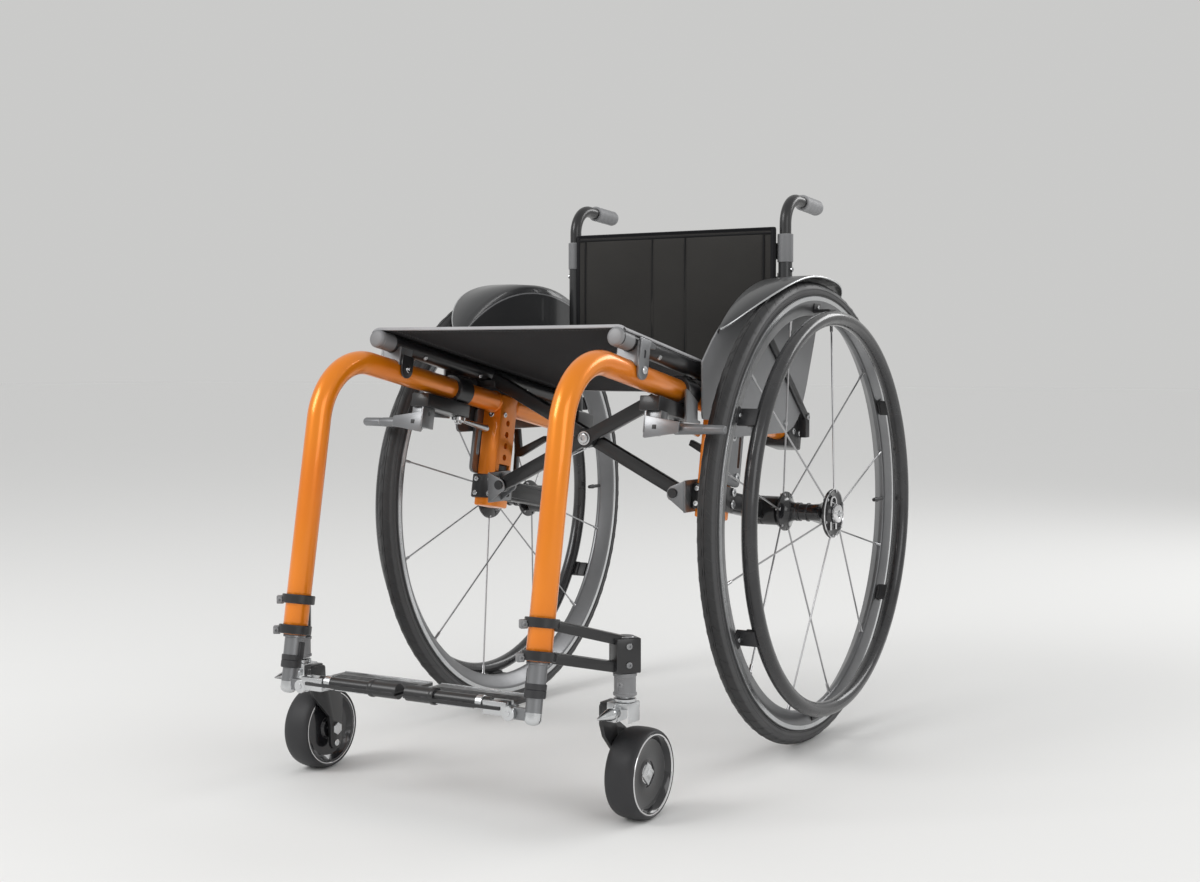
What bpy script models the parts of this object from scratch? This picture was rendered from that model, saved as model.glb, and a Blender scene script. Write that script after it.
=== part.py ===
"""Active wheelchair with a folding cross-brace frame.

The chair faces -Y, its left side is +X and +Z is up. Lengths are metres.
Shapes are drawn with y = 0 at the rear axle and moved by REAR_AXLE_Y at the end,
so that the origin is on the floor under the middle of the whole chair.
Each side piece is drawn for the left side and mirrored for the right one.
"""

import bpy
import bmesh
from math import cos, pi, radians, sin, sqrt, tan
from mathutils import Matrix, Vector

for old in list(bpy.data.objects):
    bpy.data.objects.remove(old, do_unlink=True)

# Driving dimensions
CLEARANCE = 0.0003            # gap between pieces that touch on the real chair
REAR_AXLE_Y = 0.1330           # rear axle behind the origin

# rear wheels
WHEEL_RADIUS = 0.300
TYRE_RADIUS = 0.0125
WHEEL_X = 0.232               # wheel plane from the middle of the chair
RIM_DEPTH = 0.0245
RIM_RIDGE_SHIFT = 0.0040      # the spoke ridge lies outwards of the wheel plane
RIM_HALF_WIDTH = 0.0125
HANDRIM_X = 0.2684
HANDRIM_INSET = 0.0487        # from the tyre's tread to the middle of the hand rim's tube
HANDRIM_RADIUS = WHEEL_RADIUS - HANDRIM_INSET
HANDRIM_TUBE = 0.0095
TAB_COUNT = 6
SPOKE_COUNT = 12
FIRST_SPOKE = radians(75.0)
SPOKE_LEAD = radians(4.0)     # turn of a spoke's hub end ahead of its rim end
SPOKE_RADIUS = 0.0012
AXLE_RADIUS = 0.0063
HUB_INNER_X = 0.1985
HUB_OUTER_X = 0.2700
HUB_INNER_FLANGE = 0.026
HUB_OUTER_FLANGE = 0.032

# side frame
FRAME_X = 0.166               # middle of the frame tubes
TUBE_RADIUS = 0.014
TUBE_WALL = 0.0025
SPIGOT_WALL = 0.0014
SEAT_TILT = radians(11.0)
LEG_LEAN = radians(10.5)
BEND_RADIUS = 0.080
LEG_FOOT_Y = -0.5433          # lower end of the leg
LEG_FOOT_Z = 0.184
RAIL_REF_Y = -0.215           # a point on the frame rail's middle line
RAIL_REF_Z = 0.4564
FRONT_TUBE_END_Y = -0.238
SPIGOT_FRONT_Y = -0.300
RAIL_REAR_Y = 0.065
UPRIGHT_Y = -0.1210           # where the upright meets the rail
UPRIGHT_WIDTH = 0.029
UPRIGHT_DEPTH = 0.038
UPRIGHT_LENGTH = 0.1404
UPRIGHT_X = 0.1665
HOLE_RADIUS = 0.0042
HOLE_COUNT = 4
HOLE_PITCH = 0.0155
FIRST_HOLE = 0.0264            # below the rail's middle line
SLEEVE_TOP = 0.0984
SLEEVE_LOW = 0.1304
SLEEVE_WALL = 0.0037
SIDE_PLATE_DROP = 0.0534
SIDE_PLATE_THICKNESS = 0.005
SIDE_PLATE_DEPTH = 0.064
SIDE_PLATE_HEIGHT = 0.088
AXLE_HEIGHT = WHEEL_RADIUS

# seat
SEAT_RAIL_X = 0.168
SEAT_RAIL_RADIUS = 0.011
SEAT_RAIL_RISE = 0.0334       # above the frame rail, square to it
SEAT_FRONT_Y = -0.389
SEAT_REAR_Y = 0.040
SLING_THICKNESS = 0.0025
SADDLE_Y = -0.3520
SADDLE_LENGTH = 0.024
SADDLE_BOLT_RISE = 0.0030     # above the front tube's middle line
CHEEK_THICKNESS = 0.0035

# cross brace
PIVOT_X = 0.130
PIVOT_Z = 0.3332
BRACE_ANGLE = radians(26.5)
BRACE_Y = -0.166
BAR_THICKNESS = 0.011
BAR_HEIGHT = 0.017
BAR_GAP = 0.0015
PIVOT_PIN_RADIUS = 0.0040
BAR_END_RADIUS = 0.0100

# casters
CASTER_X = 0.2240
STEM_Y = -0.465
STEM_X = 0.225
CASTER_Y = -0.431
CASTER_RADIUS = 0.050
CASTER_WIDTH = 0.036
CASTER_TYRE_DEPTH = 0.0060
CASTER_HUB_RADIUS = CASTER_RADIUS - CASTER_TYRE_DEPTH
STEM_RADIUS = 0.0060
STEM_BORE = 0.0064
ARM_OUTER_X = 0.2045
ARM_THICKNESS = 0.005

# back and handles
CANE_Y = 0.0725
CANE_RADIUS = 0.0095
HANDLE_RADIUS = 0.0080
HANDLE_BEND = 0.035
HANDLE_Z = 0.716
CANE_TOP_Z = HANDLE_Z - 0.048
HANDLE_END_Y = 0.180
GRIP_RADIUS = 0.0108
BACK_HALF_WIDTH = 0.1560
BACK_FRONT_Y = 0.0580
BACK_THICKNESS = 0.0080
BACK_TOP_Z = 0.677
BACK_BOTTOM_Z = 0.455

# side guards
GUARD_X = 0.1885
GUARD_THICKNESS = 0.0025
GUARD_ARC = WHEEL_RADIUS - 0.0060
FENDER_ARC = WHEEL_RADIUS + 0.0035
FENDER_OUT_X = 0.247

# footrest
POST_RADIUS = 0.0102
FOOT_PIVOT_X = 0.141
FOOT_PIVOT_Z = 0.1300
FOOT_FORWARD = 0.0027         # the bar's line ahead of the leg's line
FOOT_BAR_RADIUS = 0.0068
FOOT_GAP = 0.0057             # from each half's inner end to the middle
PLATE_REACH = 0.0610          # from the bar's line to the plate's rear edge
PLATE_LIP = 0.0100            # from the bar's line to the plate's front edge
FOOT_PIN_RADIUS = 0.0030
FOOT_PIN_HALF = 0.0095
FOOT_COLLAR_X = 0.040
PLATE_THICKNESS = 0.0040
PLATE_OUT_X = 0.132
PLATE_DROP = 0.0023           # plate middle below the bar's middle line

# brakes
BRAKE_CLAMP_Y = 0.0755 - WHEEL_RADIUS   # the brake follows the tyre's front edge
BRAKE_CLAMP_LENGTH = 0.030
BRAKE_BAND = 0.0045
BRAKE_BASE_TOP = 0.0165       # below the rail's middle line
BRAKE_BASE_LOW = 0.0340
SHOE_PIVOT_Y = 0.0135 - WHEEL_RADIUS
SHOE_PIVOT_X = 0.1720
SHOE_DROP = 0.0530
LEVER_PIVOT_X = 0.1600
LEVER_PIVOT_Y = 0.0780 - WHEEL_RADIUS
BRAKE_DISC = 0.0090
BRAKE_LAYER = 0.0060          # thickness of the shoe's and the lever's discs
BRAKE_PIN = 0.0030
SHOE_BAR_RADIUS = 0.0052
SHOE_BAR_START = 0.0230       # from the shoe's pivot, outwards
SHOE_BAR_END = 0.0885

# Materials


def material(name, colour, roughness, metallic):
    made = bpy.data.materials.new(name)
    made.use_nodes = True
    shader = made.node_tree.nodes["Principled BSDF"]
    shader.inputs["Base Color"].default_value = (*colour, 1.0)
    shader.inputs["Roughness"].default_value = roughness
    shader.inputs["Metallic"].default_value = metallic
    made.diffuse_color = (*colour, 1.0)
    return made


ORANGE = material("orange_gloss_paint", (0.86, 0.21, 0.012), 0.22, 0.25)
BLACK_PAINT = material("black_satin_paint", (0.016, 0.016, 0.018), 0.38, 0.35)
GRAPHITE = material("graphite_bracket", (0.16, 0.165, 0.175), 0.42, 0.75)
BARE_METAL = material("bare_aluminium", (0.62, 0.63, 0.65), 0.30, 1.0)
RUBBER = material("black_rubber", (0.035, 0.036, 0.040), 0.72, 0.0)
CASTER_RUBBER = material("caster_polyurethane", (0.050, 0.051, 0.056), 0.55, 0.0)
RIM_METAL = material("anodised_rim", (0.36, 0.37, 0.39), 0.32, 0.9)
HANDRIM_METAL = material("satin_handrim", (0.30, 0.31, 0.33), 0.36, 0.9)
HUB_METAL = material("black_hub", (0.030, 0.031, 0.034), 0.28, 0.6)
FABRIC = material("black_nylon", (0.014, 0.014, 0.016), 0.85, 0.0)
BACK_FABRIC = material("grey_black_nylon", (0.045, 0.046, 0.048), 0.88, 0.0)
GUARD_PLASTIC = material("grey_side_guard", (0.28, 0.285, 0.30), 0.45, 0.3)
GRIP_RUBBER = material("grey_grip", (0.20, 0.205, 0.215), 0.60, 0.0)

# Shape helpers


def mesh_object(name, verts, faces, made_of, smooth=True):
    mesh = bpy.data.meshes.new(name)
    mesh.from_pydata([tuple(v) for v in verts], [], faces)
    mesh.materials.append(made_of)
    work = bmesh.new()
    work.from_mesh(mesh)
    bmesh.ops.recalc_face_normals(work, faces=work.faces)
    work.to_mesh(mesh)
    work.free()
    item = bpy.data.objects.new(name, mesh)
    bpy.context.scene.collection.objects.link(item)
    if smooth:
        mesh.shade_smooth()
        mesh.set_sharp_from_angle(angle=radians(32))
    return item


def loft(name, rings, made_of, closed=False, smooth=True):
    """Skin rings of equal length; end rings get caps unless the loft closes on itself."""
    count = len(rings[0])
    verts = [v for ring in rings for v in ring]
    faces = []
    spans = len(rings) if closed else len(rings) - 1
    for i in range(spans):
        a = i * count
        b = ((i + 1) % len(rings)) * count
        for k in range(count):
            n = (k + 1) % count
            faces.append((a + k, a + n, b + n, b + k))
    if not closed:
        faces.append(tuple(range(count)))
        faces.append(tuple(range(len(verts) - count, len(verts))))
    return mesh_object(name, verts, faces, made_of, smooth)


def path_frames(path):
    """A point, side and up vector for each station of a path."""
    points = [Vector(p) for p in path]
    frames = []
    side = None
    for i, point in enumerate(points):
        ahead = points[min(i + 1, len(points) - 1)] - point
        behind = point - points[max(i - 1, 0)]
        if ahead.length == 0:
            run = behind.normalized()
        elif behind.length == 0:
            run = ahead.normalized()
        else:
            run = (ahead.normalized() + behind.normalized()).normalized()
        if side is None:
            start = Vector((1, 0, 0)) if abs(run.x) < 0.9 else Vector((0, 1, 0))
            side = (start - run * start.dot(run)).normalized()
        else:
            side = (side - run * side.dot(run)).normalized()
        frames.append((point, side, run.cross(side)))
    return frames


def circle(frame, radius, segments):
    point, side, up = frame
    turns = [2 * pi * k / segments for k in range(segments)]
    return [point + side * (radius * cos(a)) + up * (radius * sin(a)) for a in turns]


def rod(name, path, radius, made_of, segments=16):
    """A round bar along a path; radius is one number or one for each station."""
    frames = path_frames(path)
    radii = radius if isinstance(radius, (list, tuple)) else [radius] * len(frames)
    rings = [circle(f, r, segments) for f, r in zip(frames, radii)]
    return loft(name, rings, made_of)


def pipe(name, path, outer, inner, made_of, segments=16):
    """A hollow tube, open at both ends."""
    frames = path_frames(path)
    rings = [circle(f, outer, segments) for f in frames]
    rings += [circle(f, inner, segments) for f in reversed(frames)]
    return loft(name, rings, made_of, closed=True)


def turned(name, profile, centre, axis, made_of, segments=24):
    """Turn a closed outline of (distance along the axis, radius) around the axis."""
    run = Vector(axis).normalized()
    start = Vector((0, 0, 1)) if abs(run.z) < 0.9 else Vector((1, 0, 0))
    side = (start - run * start.dot(run)).normalized()
    up = run.cross(side)
    rings = []
    for k in range(segments):
        angle = 2 * pi * k / segments
        out = side * cos(angle) + up * sin(angle)
        rings.append([Vector(centre) + run * t + out * r for t, r in profile])
    return loft(name, rings, made_of, closed=True)


def shaft(name, start, end, radius, made_of, segments=16, end_radius=None):
    """A solid cylinder or cone between two points."""
    last = radius if end_radius is None else end_radius
    return rod(name, [start, end], [radius, last], made_of, segments)


def block(name, centre, size, made_of, basis=None):
    """A box; basis gives its three edge directions."""
    e = basis or (Vector((1, 0, 0)), Vector((0, 1, 0)), Vector((0, 0, 1)))
    c = Vector(centre)
    h = [s / 2 for s in size]
    corners = [(-1, -1), (1, -1), (1, 1), (-1, 1)]
    rings = [
        [c + e[0] * (i * h[0]) + e[1] * (j * h[1]) + e[2] * (k * h[2]) for i, j in corners]
        for k in (-1, 1)
    ]
    return loft(name, rings, made_of)


def slab(name, outline, low, high, made_of, axis="x"):
    """A flat plate: an outline in the other two axes, given a thickness along axis."""

    def place(a, b, t):
        return {"x": (t, a, b), "y": (a, t, b), "z": (a, b, t)}[axis]

    rings = [[Vector(place(a, b, t)) for a, b in outline] for t in (low, high)]
    return loft(name, rings, made_of)


def boolean(base, tool, operation):
    """Cut or join one shape with another and keep the result in base."""
    change = base.modifiers.new("change", "BOOLEAN")
    change.object = tool
    change.operation = operation
    change.solver = "EXACT"
    bpy.context.view_layer.update()
    graph = bpy.context.evaluated_depsgraph_get()
    result = bpy.data.meshes.new_from_object(base.evaluated_get(graph))
    base.modifiers.clear()
    before = base.data
    base.data = result
    bpy.data.meshes.remove(before)
    drop = tool.data
    bpy.data.objects.remove(tool, do_unlink=True)
    bpy.data.meshes.remove(drop)
    return base


def join(base, *tools):
    for tool in tools:
        boolean(base, tool, "UNION")
    return base


def cut(base, *tools):
    for tool in tools:
        boolean(base, tool, "DIFFERENCE")
    return base


def finish(item, made_of):
    """Tidy a joined shape: one material, merged points, smooth round faces."""
    mesh = item.data
    work = bmesh.new()
    work.from_mesh(mesh)
    bmesh.ops.remove_doubles(work, verts=work.verts, dist=0.000001)
    bmesh.ops.dissolve_limit(
        work, angle_limit=radians(0.5), verts=work.verts, edges=work.edges
    )
    bmesh.ops.triangulate(work, faces=[f for f in work.faces if len(f.verts) > 4])
    work.to_mesh(mesh)
    work.free()
    mesh.materials.clear()
    mesh.materials.append(made_of)
    for face in mesh.polygons:
        face.material_index = 0
    mesh.shade_smooth()
    mesh.set_sharp_from_angle(angle=radians(32))
    return item


PIVOTS = {}


def pair(item, name, pivot=None):
    """Name the left piece and add the mirrored right piece."""
    item.name = name + "_left"
    item.data.name = item.name
    mesh = item.data.copy()
    mesh.transform(Matrix.Scale(-1, 4, (1, 0, 0)))
    mesh.flip_normals()
    other = bpy.data.objects.new(name + "_right", mesh)
    mesh.name = other.name
    bpy.context.scene.collection.objects.link(other)
    if pivot:
        x, y, z = pivot
        PIVOTS[item.name] = (x, y, z)
        PIVOTS[other.name] = (-x, y, z)


# Frame lines

ALONG = Vector((0, cos(SEAT_TILT), -sin(SEAT_TILT)))      # along the rail, rearwards
ABOVE = Vector((0, sin(SEAT_TILT), cos(SEAT_TILT)))       # square to the rail, upwards
SIDE = Vector((1, 0, 0))
LEG_UP = Vector((0, sin(LEG_LEAN), cos(LEG_LEAN)))


def rail_point(y, x=FRAME_X, rise=0.0):
    """The point of the rail's middle line at y, moved square to it by rise."""
    z = RAIL_REF_Z - tan(SEAT_TILT) * (y - RAIL_REF_Y)
    return Vector((x, y, z)) + ABOVE * rise


def rail_plate(name, y, outline, x_low, x_high, made_of):
    """A plate beside the rail: an outline of (along, above) from the rail's point at y."""
    rings = [
        [rail_point(y, x) + ABOVE * above + ALONG * along for along, above in outline]
        for x in (x_low, x_high)
    ]
    return loft(name, rings, made_of)


def seat_point(y, x=SEAT_RAIL_X, rise=0.0):
    """The point of the seat rail's middle line whose own y is y."""
    y0 = y - sin(SEAT_TILT) * SEAT_RAIL_RISE
    return rail_point(y0, x, SEAT_RAIL_RISE) + ABOVE * rise


def leg_point(z, x=FRAME_X):
    """The point of the leg's middle line at height z."""
    return Vector((x, LEG_FOOT_Y + tan(LEG_LEAN) * (z - LEG_FOOT_Z), z))


FOOT_Y = leg_point(FOOT_PIVOT_Z).y - FOOT_FORWARD
FOOT_REAR_Y = FOOT_Y + PLATE_REACH


def corner_path():
    """The front tube's middle line: leg, bend and rail."""
    slope = tan(SEAT_TILT)
    lean = tan(LEG_LEAN)
    y = LEG_FOOT_Y + lean * (RAIL_REF_Z + slope * RAIL_REF_Y - LEG_FOOT_Z)
    y /= 1 + lean * slope
    corner = rail_point(y)
    turn = LEG_UP.angle(ALONG)
    tangent = BEND_RADIUS * tan(turn / 2)
    start = corner - LEG_UP * tangent
    inward = LEG_UP.cross(ALONG).cross(LEG_UP).normalized()
    centre = start + inward * BEND_RADIUS
    steps = 7
    arc = []
    for i in range(steps + 1):
        a = turn * i / steps
        arc.append(centre - inward * (BEND_RADIUS * cos(a)) + LEG_UP * (BEND_RADIUS * sin(a)))
    return [leg_point(LEG_FOOT_Z)] + arc + [rail_point(FRONT_TUBE_END_Y)]


# Rear wheels

WHEEL_CENTRE = (WHEEL_X, 0, AXLE_HEIGHT)
RING_STEPS = 36

tyre_line = WHEEL_RADIUS - TYRE_RADIUS
tyre_outline = []
for k in range(8):
    a = 2 * pi * k / 8 + pi / 8
    tread = TYRE_RADIUS / cos(pi / 8) if cos(a) > 0.5 else TYRE_RADIUS
    tyre_outline.append((TYRE_RADIUS * sin(a), tyre_line + tread * cos(a)))
tyre = turned("tyre", tyre_outline, WHEEL_CENTRE, SIDE, RUBBER, RING_STEPS)
pair(tyre, "rear_tyre", WHEEL_CENTRE)

seat_depth = 0.0070           # how far the tyre sinks into the rim
rim_outer = tyre_line - TYRE_RADIUS + seat_depth - 0.0015
seat_half = sqrt(TYRE_RADIUS**2 - (tyre_line - rim_outer) ** 2) + CLEARANCE
rim_floor = tyre_line - TYRE_RADIUS - CLEARANCE * 2
rim_inner = rim_outer - RIM_DEPTH
rim_outline = [
    (RIM_RIDGE_SHIFT - 0.004, rim_inner),
    (RIM_RIDGE_SHIFT + 0.004, rim_inner),
    (RIM_HALF_WIDTH, rim_outer),
    (seat_half + 0.0006, rim_outer),
    (0.0055, rim_floor),
    (-0.0055, rim_floor),
    (-seat_half - 0.0006, rim_outer),
    (-RIM_HALF_WIDTH, rim_outer),
]
rim = turned("rim", rim_outline, WHEEL_CENTRE, SIDE, RIM_METAL, RING_STEPS)
pair(rim, "wheel_rim", WHEEL_CENTRE)

handrim_outline = []
for k in range(8):
    a = 2 * pi * k / 8 + pi / 8
    handrim_outline.append((HANDRIM_TUBE * sin(a), HANDRIM_RADIUS + HANDRIM_TUBE * cos(a)))
handrim_centre = (HANDRIM_X, 0, AXLE_HEIGHT)
handrim = turned("handrim", handrim_outline, handrim_centre, SIDE, HANDRIM_METAL, RING_STEPS)
tab_inner = WHEEL_X + 0.0102
for k in range(TAB_COUNT):
    a = 2 * pi * k / TAB_COUNT + pi / 6
    out = Vector((0, cos(a), sin(a)))
    across = Vector((0, -sin(a), cos(a)))
    tab_end = HANDRIM_X - 0.004
    mid = Vector(((tab_inner + tab_end) / 2, 0, AXLE_HEIGHT)) + out * (rim_inner + 0.0050)
    tab = block("tab", mid, (tab_end - tab_inner, 0.022, 0.004), HANDRIM_METAL, (SIDE, across, out))
    join(handrim, tab)
finish(handrim, HANDRIM_METAL)
pair(handrim, "handrim", WHEEL_CENTRE)

hub_bore = AXLE_RADIUS + 0.0004
hub_outline = [
    (HUB_INNER_X, hub_bore),
    (HUB_INNER_X, HUB_INNER_FLANGE * 0.85),
    (HUB_INNER_X + 0.0012, HUB_INNER_FLANGE),
    (HUB_INNER_X + 0.0045, HUB_INNER_FLANGE),
    (HUB_INNER_X + 0.0085, 0.0150),
    (HUB_INNER_X + 0.0200, 0.0110),
    (HUB_OUTER_X - 0.0260, 0.0110),
    (HUB_OUTER_X - 0.0120, 0.0160),
    (HUB_OUTER_X - 0.0050, HUB_OUTER_FLANGE),
    (HUB_OUTER_X - 0.0015, HUB_OUTER_FLANGE),
    (HUB_OUTER_X, HUB_OUTER_FLANGE * 0.88),
    (HUB_OUTER_X, hub_bore),
]
hub = turned("hub", hub_outline, (0, 0, AXLE_HEIGHT), SIDE, HUB_METAL, 24)
spoke_reach = rim_inner * cos(pi / RING_STEPS) - CLEARANCE
for k in range(SPOKE_COUNT):
    outer = k % 2 == 0
    a = FIRST_SPOKE - 2 * pi * k / SPOKE_COUNT
    flange_x = HUB_OUTER_X - 0.0032 if outer else HUB_INNER_X + 0.0027
    flange_r = (HUB_OUTER_FLANGE if outer else HUB_INNER_FLANGE) - 0.003
    lead = a + SPOKE_LEAD
    root = Vector((flange_x, flange_r * cos(lead), AXLE_HEIGHT + flange_r * sin(lead)))
    tip_x = WHEEL_X + RIM_RIDGE_SHIFT
    tip = Vector((tip_x, spoke_reach * cos(a), AXLE_HEIGHT + spoke_reach * sin(a)))
    join(hub, shaft("spoke", root, tip, SPOKE_RADIUS, HUB_METAL, 6))
finish(hub, HUB_METAL)
pair(hub, "hub_and_spokes", WHEEL_CENTRE)

# quick-release axle: a pin with a collar, and the button in its outer end
axle_inner_x = 0.149
collar_x = HUB_OUTER_X + CLEARANCE
axle_outline = [
    (axle_inner_x, 0.0010),
    (axle_inner_x, AXLE_RADIUS - 0.001),
    (axle_inner_x + 0.001, AXLE_RADIUS),
    (collar_x, AXLE_RADIUS),
    (collar_x, 0.0125),
    (collar_x + 0.0065, 0.0115),
    (collar_x + 0.0065, 0.0050),
    (collar_x - 0.0060, 0.0050),
    (collar_x - 0.0060, 0.0010),
]
axle = turned("axle", axle_outline, (0, 0, AXLE_HEIGHT), SIDE, BARE_METAL, 12)
pair(axle, "quick_release_axle", (collar_x, 0, AXLE_HEIGHT))
button_x = collar_x - 0.0022
button = shaft(
    "button",
    (button_x, 0, AXLE_HEIGHT),
    (collar_x + 0.0095, 0, AXLE_HEIGHT),
    0.0044,
    BARE_METAL,
    12,
)
pair(button, "axle_button", (collar_x, 0, AXLE_HEIGHT))

# Side frame

front_tube = pipe("front_tube", corner_path(), TUBE_RADIUS, TUBE_RADIUS - TUBE_WALL, ORANGE, 16)
pair(front_tube, "front_tube")

spigot_radius = TUBE_RADIUS - TUBE_WALL - CLEARANCE
rail_start = rail_point(FRONT_TUBE_END_Y + CLEARANCE)
rail = shaft("rail", rail_start, rail_point(RAIL_REAR_Y), TUBE_RADIUS, ORANGE, 16)
spigot = shaft(
    "spigot", rail_point(SPIGOT_FRONT_Y), rail_point(FRONT_TUBE_END_Y + 0.010), spigot_radius, ORANGE, 16
)
rail_bore = shaft(
    "rail_bore",
    rail_point(SPIGOT_FRONT_Y - 0.01),
    rail_point(RAIL_REAR_Y + 0.01),
    spigot_radius - SPIGOT_WALL,
    ORANGE,
    16,
)
join(rail, spigot)


def upright_point(down, forward=0.0, x=UPRIGHT_X):
    """A point of the upright, measured down from the rail's middle line."""
    return rail_point(UPRIGHT_Y, x) - ABOVE * down - ALONG * forward


half_up = (UPRIGHT_LENGTH + 0.010) / 2
upright = block(
    "upright",
    upright_point(UPRIGHT_LENGTH - half_up),
    (UPRIGHT_WIDTH, UPRIGHT_DEPTH, half_up * 2),
    ORANGE,
    (SIDE, ALONG, ABOVE),
)
join(upright, rail)
cut(upright, rail_bore)
inner_face_x = UPRIGHT_X - UPRIGHT_WIDTH / 2
for k in range(HOLE_COUNT):
    p = upright_point(FIRST_HOLE + k * HOLE_PITCH)
    start = (inner_face_x - 0.004, p.y, p.z)
    cut(upright, shaft("hole", start, (inner_face_x + 0.010, p.y, p.z), HOLE_RADIUS, ORANGE, 12))
p = upright_point(FIRST_HOLE + HOLE_COUNT * HOLE_PITCH + 0.0005, -0.001)
window_size = (0.016, 0.024, 0.0125)
window = block("window", (inner_face_x, p.y, p.z), window_size, ORANGE, (SIDE, ALONG, ABOVE))
cut(upright, window)
finish(upright, ORANGE)
pair(upright, "rear_frame")

# axle carrier: a sleeve on the upright's lower end, an arm back to the axle
sleeve_mid = upright_point((SLEEVE_TOP + SLEEVE_LOW) / 2)
sleeve_walls = (CLEARANCE + SLEEVE_WALL) * 2
sleeve = block(
    "sleeve",
    sleeve_mid,
    (UPRIGHT_WIDTH + sleeve_walls, UPRIGHT_DEPTH + sleeve_walls, SLEEVE_LOW - SLEEVE_TOP),
    BLACK_PAINT,
    (SIDE, ALONG, ABOVE),
)
arm_start = sleeve_mid + ALONG * (UPRIGHT_DEPTH / 2 + 0.002)
arm_end = Vector((UPRIGHT_X, 0, AXLE_HEIGHT))
arm_start.x = UPRIGHT_X
arm_run = (arm_end - arm_start).normalized()
arm = block(
    "arm",
    (arm_start + arm_end) / 2,
    (0.018, (arm_end - arm_start).length, 0.026),
    BLACK_PAINT,
    (SIDE, arm_run, SIDE.cross(arm_run)),
)
boss = shaft("boss", (0.1520, 0, AXLE_HEIGHT), (0.1950, 0, AXLE_HEIGHT), 0.019, BLACK_PAINT, 24)
strap_y = UPRIGHT_Y + UPRIGHT_DEPTH / 2 + 0.0025
strap = slab(
    "strap",
    [
        (0.160, 0.305),
        (0.166, 0.305),
        (0.160, 0.372),
        (0.160, 0.404),
        (0.153, 0.404),
        (0.1505, 0.378),
        (0.112, 0.3955),
        (0.109, 0.3885),
        (0.150, 0.3660),
        (0.156, 0.3660),
    ],
    strap_y,
    strap_y + 0.008,
    BLACK_PAINT,
    "y",
)
carrier = join(sleeve, arm, boss, strap)
core = block(
    "core",
    sleeve_mid,
    (UPRIGHT_WIDTH + CLEARANCE * 2, UPRIGHT_DEPTH + CLEARANCE * 2, 0.060),
    BLACK_PAINT,
    (SIDE, ALONG, ABOVE),
)
cut(carrier, core)
cut(carrier, shaft("bore", (0.14, 0, AXLE_HEIGHT), (0.21, 0, AXLE_HEIGHT), hub_bore, BLACK_PAINT, 16))
finish(carrier, BLACK_PAINT)
pair(carrier, "axle_carrier")

# outer side plate with its two bolts
plate_x = UPRIGHT_X + UPRIGHT_WIDTH / 2 + CLEARANCE
plate_mid = upright_point(SIDE_PLATE_DROP)
side_plate = block(
    "side_plate",
    (plate_x + SIDE_PLATE_THICKNESS / 2, plate_mid.y, plate_mid.z),
    (SIDE_PLATE_THICKNESS, SIDE_PLATE_DEPTH, SIDE_PLATE_HEIGHT),
    GRAPHITE,
    (SIDE, ALONG, ABOVE),
)
for down in (SIDE_PLATE_DROP + 0.016, SIDE_PLATE_DROP + 0.034):
    p = upright_point(down)
    bolt_base = Vector((plate_x + 0.003, p.y, p.z))
    join(side_plate, shaft("bolt", bolt_base, bolt_base + SIDE * 0.0036, 0.0050, GRAPHITE, 8))
finish(side_plate, GRAPHITE)
pair(side_plate, "side_plate")

# Seat

seat_rail = shaft(
    "seat_rail", seat_point(SEAT_FRONT_Y), seat_point(SEAT_REAR_Y), SEAT_RAIL_RADIUS, BLACK_PAINT, 20
)
pair(seat_rail, "seat_rail")

# saddle: a block on the front tube with an open cradle for the seat rail,
# and a cheek down the tube's outer side that takes the bolt
cheek_in = FRAME_X + TUBE_RADIUS + CLEARANCE
cheek_out = cheek_in + CHEEK_THICKNESS
saddle_in = FRAME_X - 0.0130
saddle_top = SEAT_RAIL_RISE + 0.0020
saddle_low = 0.0062
saddle = block(
    "saddle",
    rail_point(SADDLE_Y, (saddle_in + cheek_in + 0.001) / 2, (saddle_top + saddle_low) / 2),
    (cheek_in + 0.001 - saddle_in, SADDLE_LENGTH, saddle_top - saddle_low),
    BARE_METAL,
    (SIDE, ALONG, ABOVE),
)
reach = ALONG * SADDLE_LENGTH
tube_centre = rail_point(SADDLE_Y)
tube_seat = shaft(
    "tube_seat", tube_centre - reach, tube_centre + reach, TUBE_RADIUS + CLEARANCE, BARE_METAL, 20
)
cradle_radius = SEAT_RAIL_RADIUS + CLEARANCE * 2
cradle_centre = rail_point(SADDLE_Y, SEAT_RAIL_X, SEAT_RAIL_RISE)
cradle = shaft("cradle", cradle_centre - reach, cradle_centre + reach, cradle_radius, BARE_METAL, 20)
mouth = block(
    "mouth",
    rail_point(SADDLE_Y, SEAT_RAIL_X + cradle_radius - 0.020, SEAT_RAIL_RISE + 0.0060),
    (0.040, SADDLE_LENGTH * 2, 0.020),
    BARE_METAL,
    (SIDE, ALONG, ABOVE),
)
cut(saddle, tube_seat, cradle, mouth)
cheek_half = SADDLE_LENGTH / 2 - 0.0010
cheek_top = saddle_top + 0.0035
wing = cheek_half + 0.0130
cheek_outline = [(-cheek_half, cheek_top), (-cheek_half, SADDLE_BOLT_RISE)]
for k in range(1, 6):
    a = pi * k / 6
    cheek_outline.append((-cheek_half * cos(a), SADDLE_BOLT_RISE - cheek_half * sin(a)))
cheek_outline += [(cheek_half, SADDLE_BOLT_RISE), (cheek_half, cheek_top - 0.0090)]
cheek_outline += [(wing, cheek_top - 0.0075), (wing, cheek_top - 0.0020), (cheek_half, cheek_top)]
cheek = rail_plate("cheek", SADDLE_Y, cheek_outline, cheek_in, cheek_out, BARE_METAL)
bolt_at = rail_point(SADDLE_Y, cheek_out, SADDLE_BOLT_RISE)
saddle_bolt = shaft("saddle_bolt", bolt_at - SIDE * 0.001, bolt_at + SIDE * 0.0030, 0.0050, BARE_METAL, 8)
join(saddle, cheek, saddle_bolt)
finish(saddle, BARE_METAL)
pair(saddle, "seat_saddle")

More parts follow.
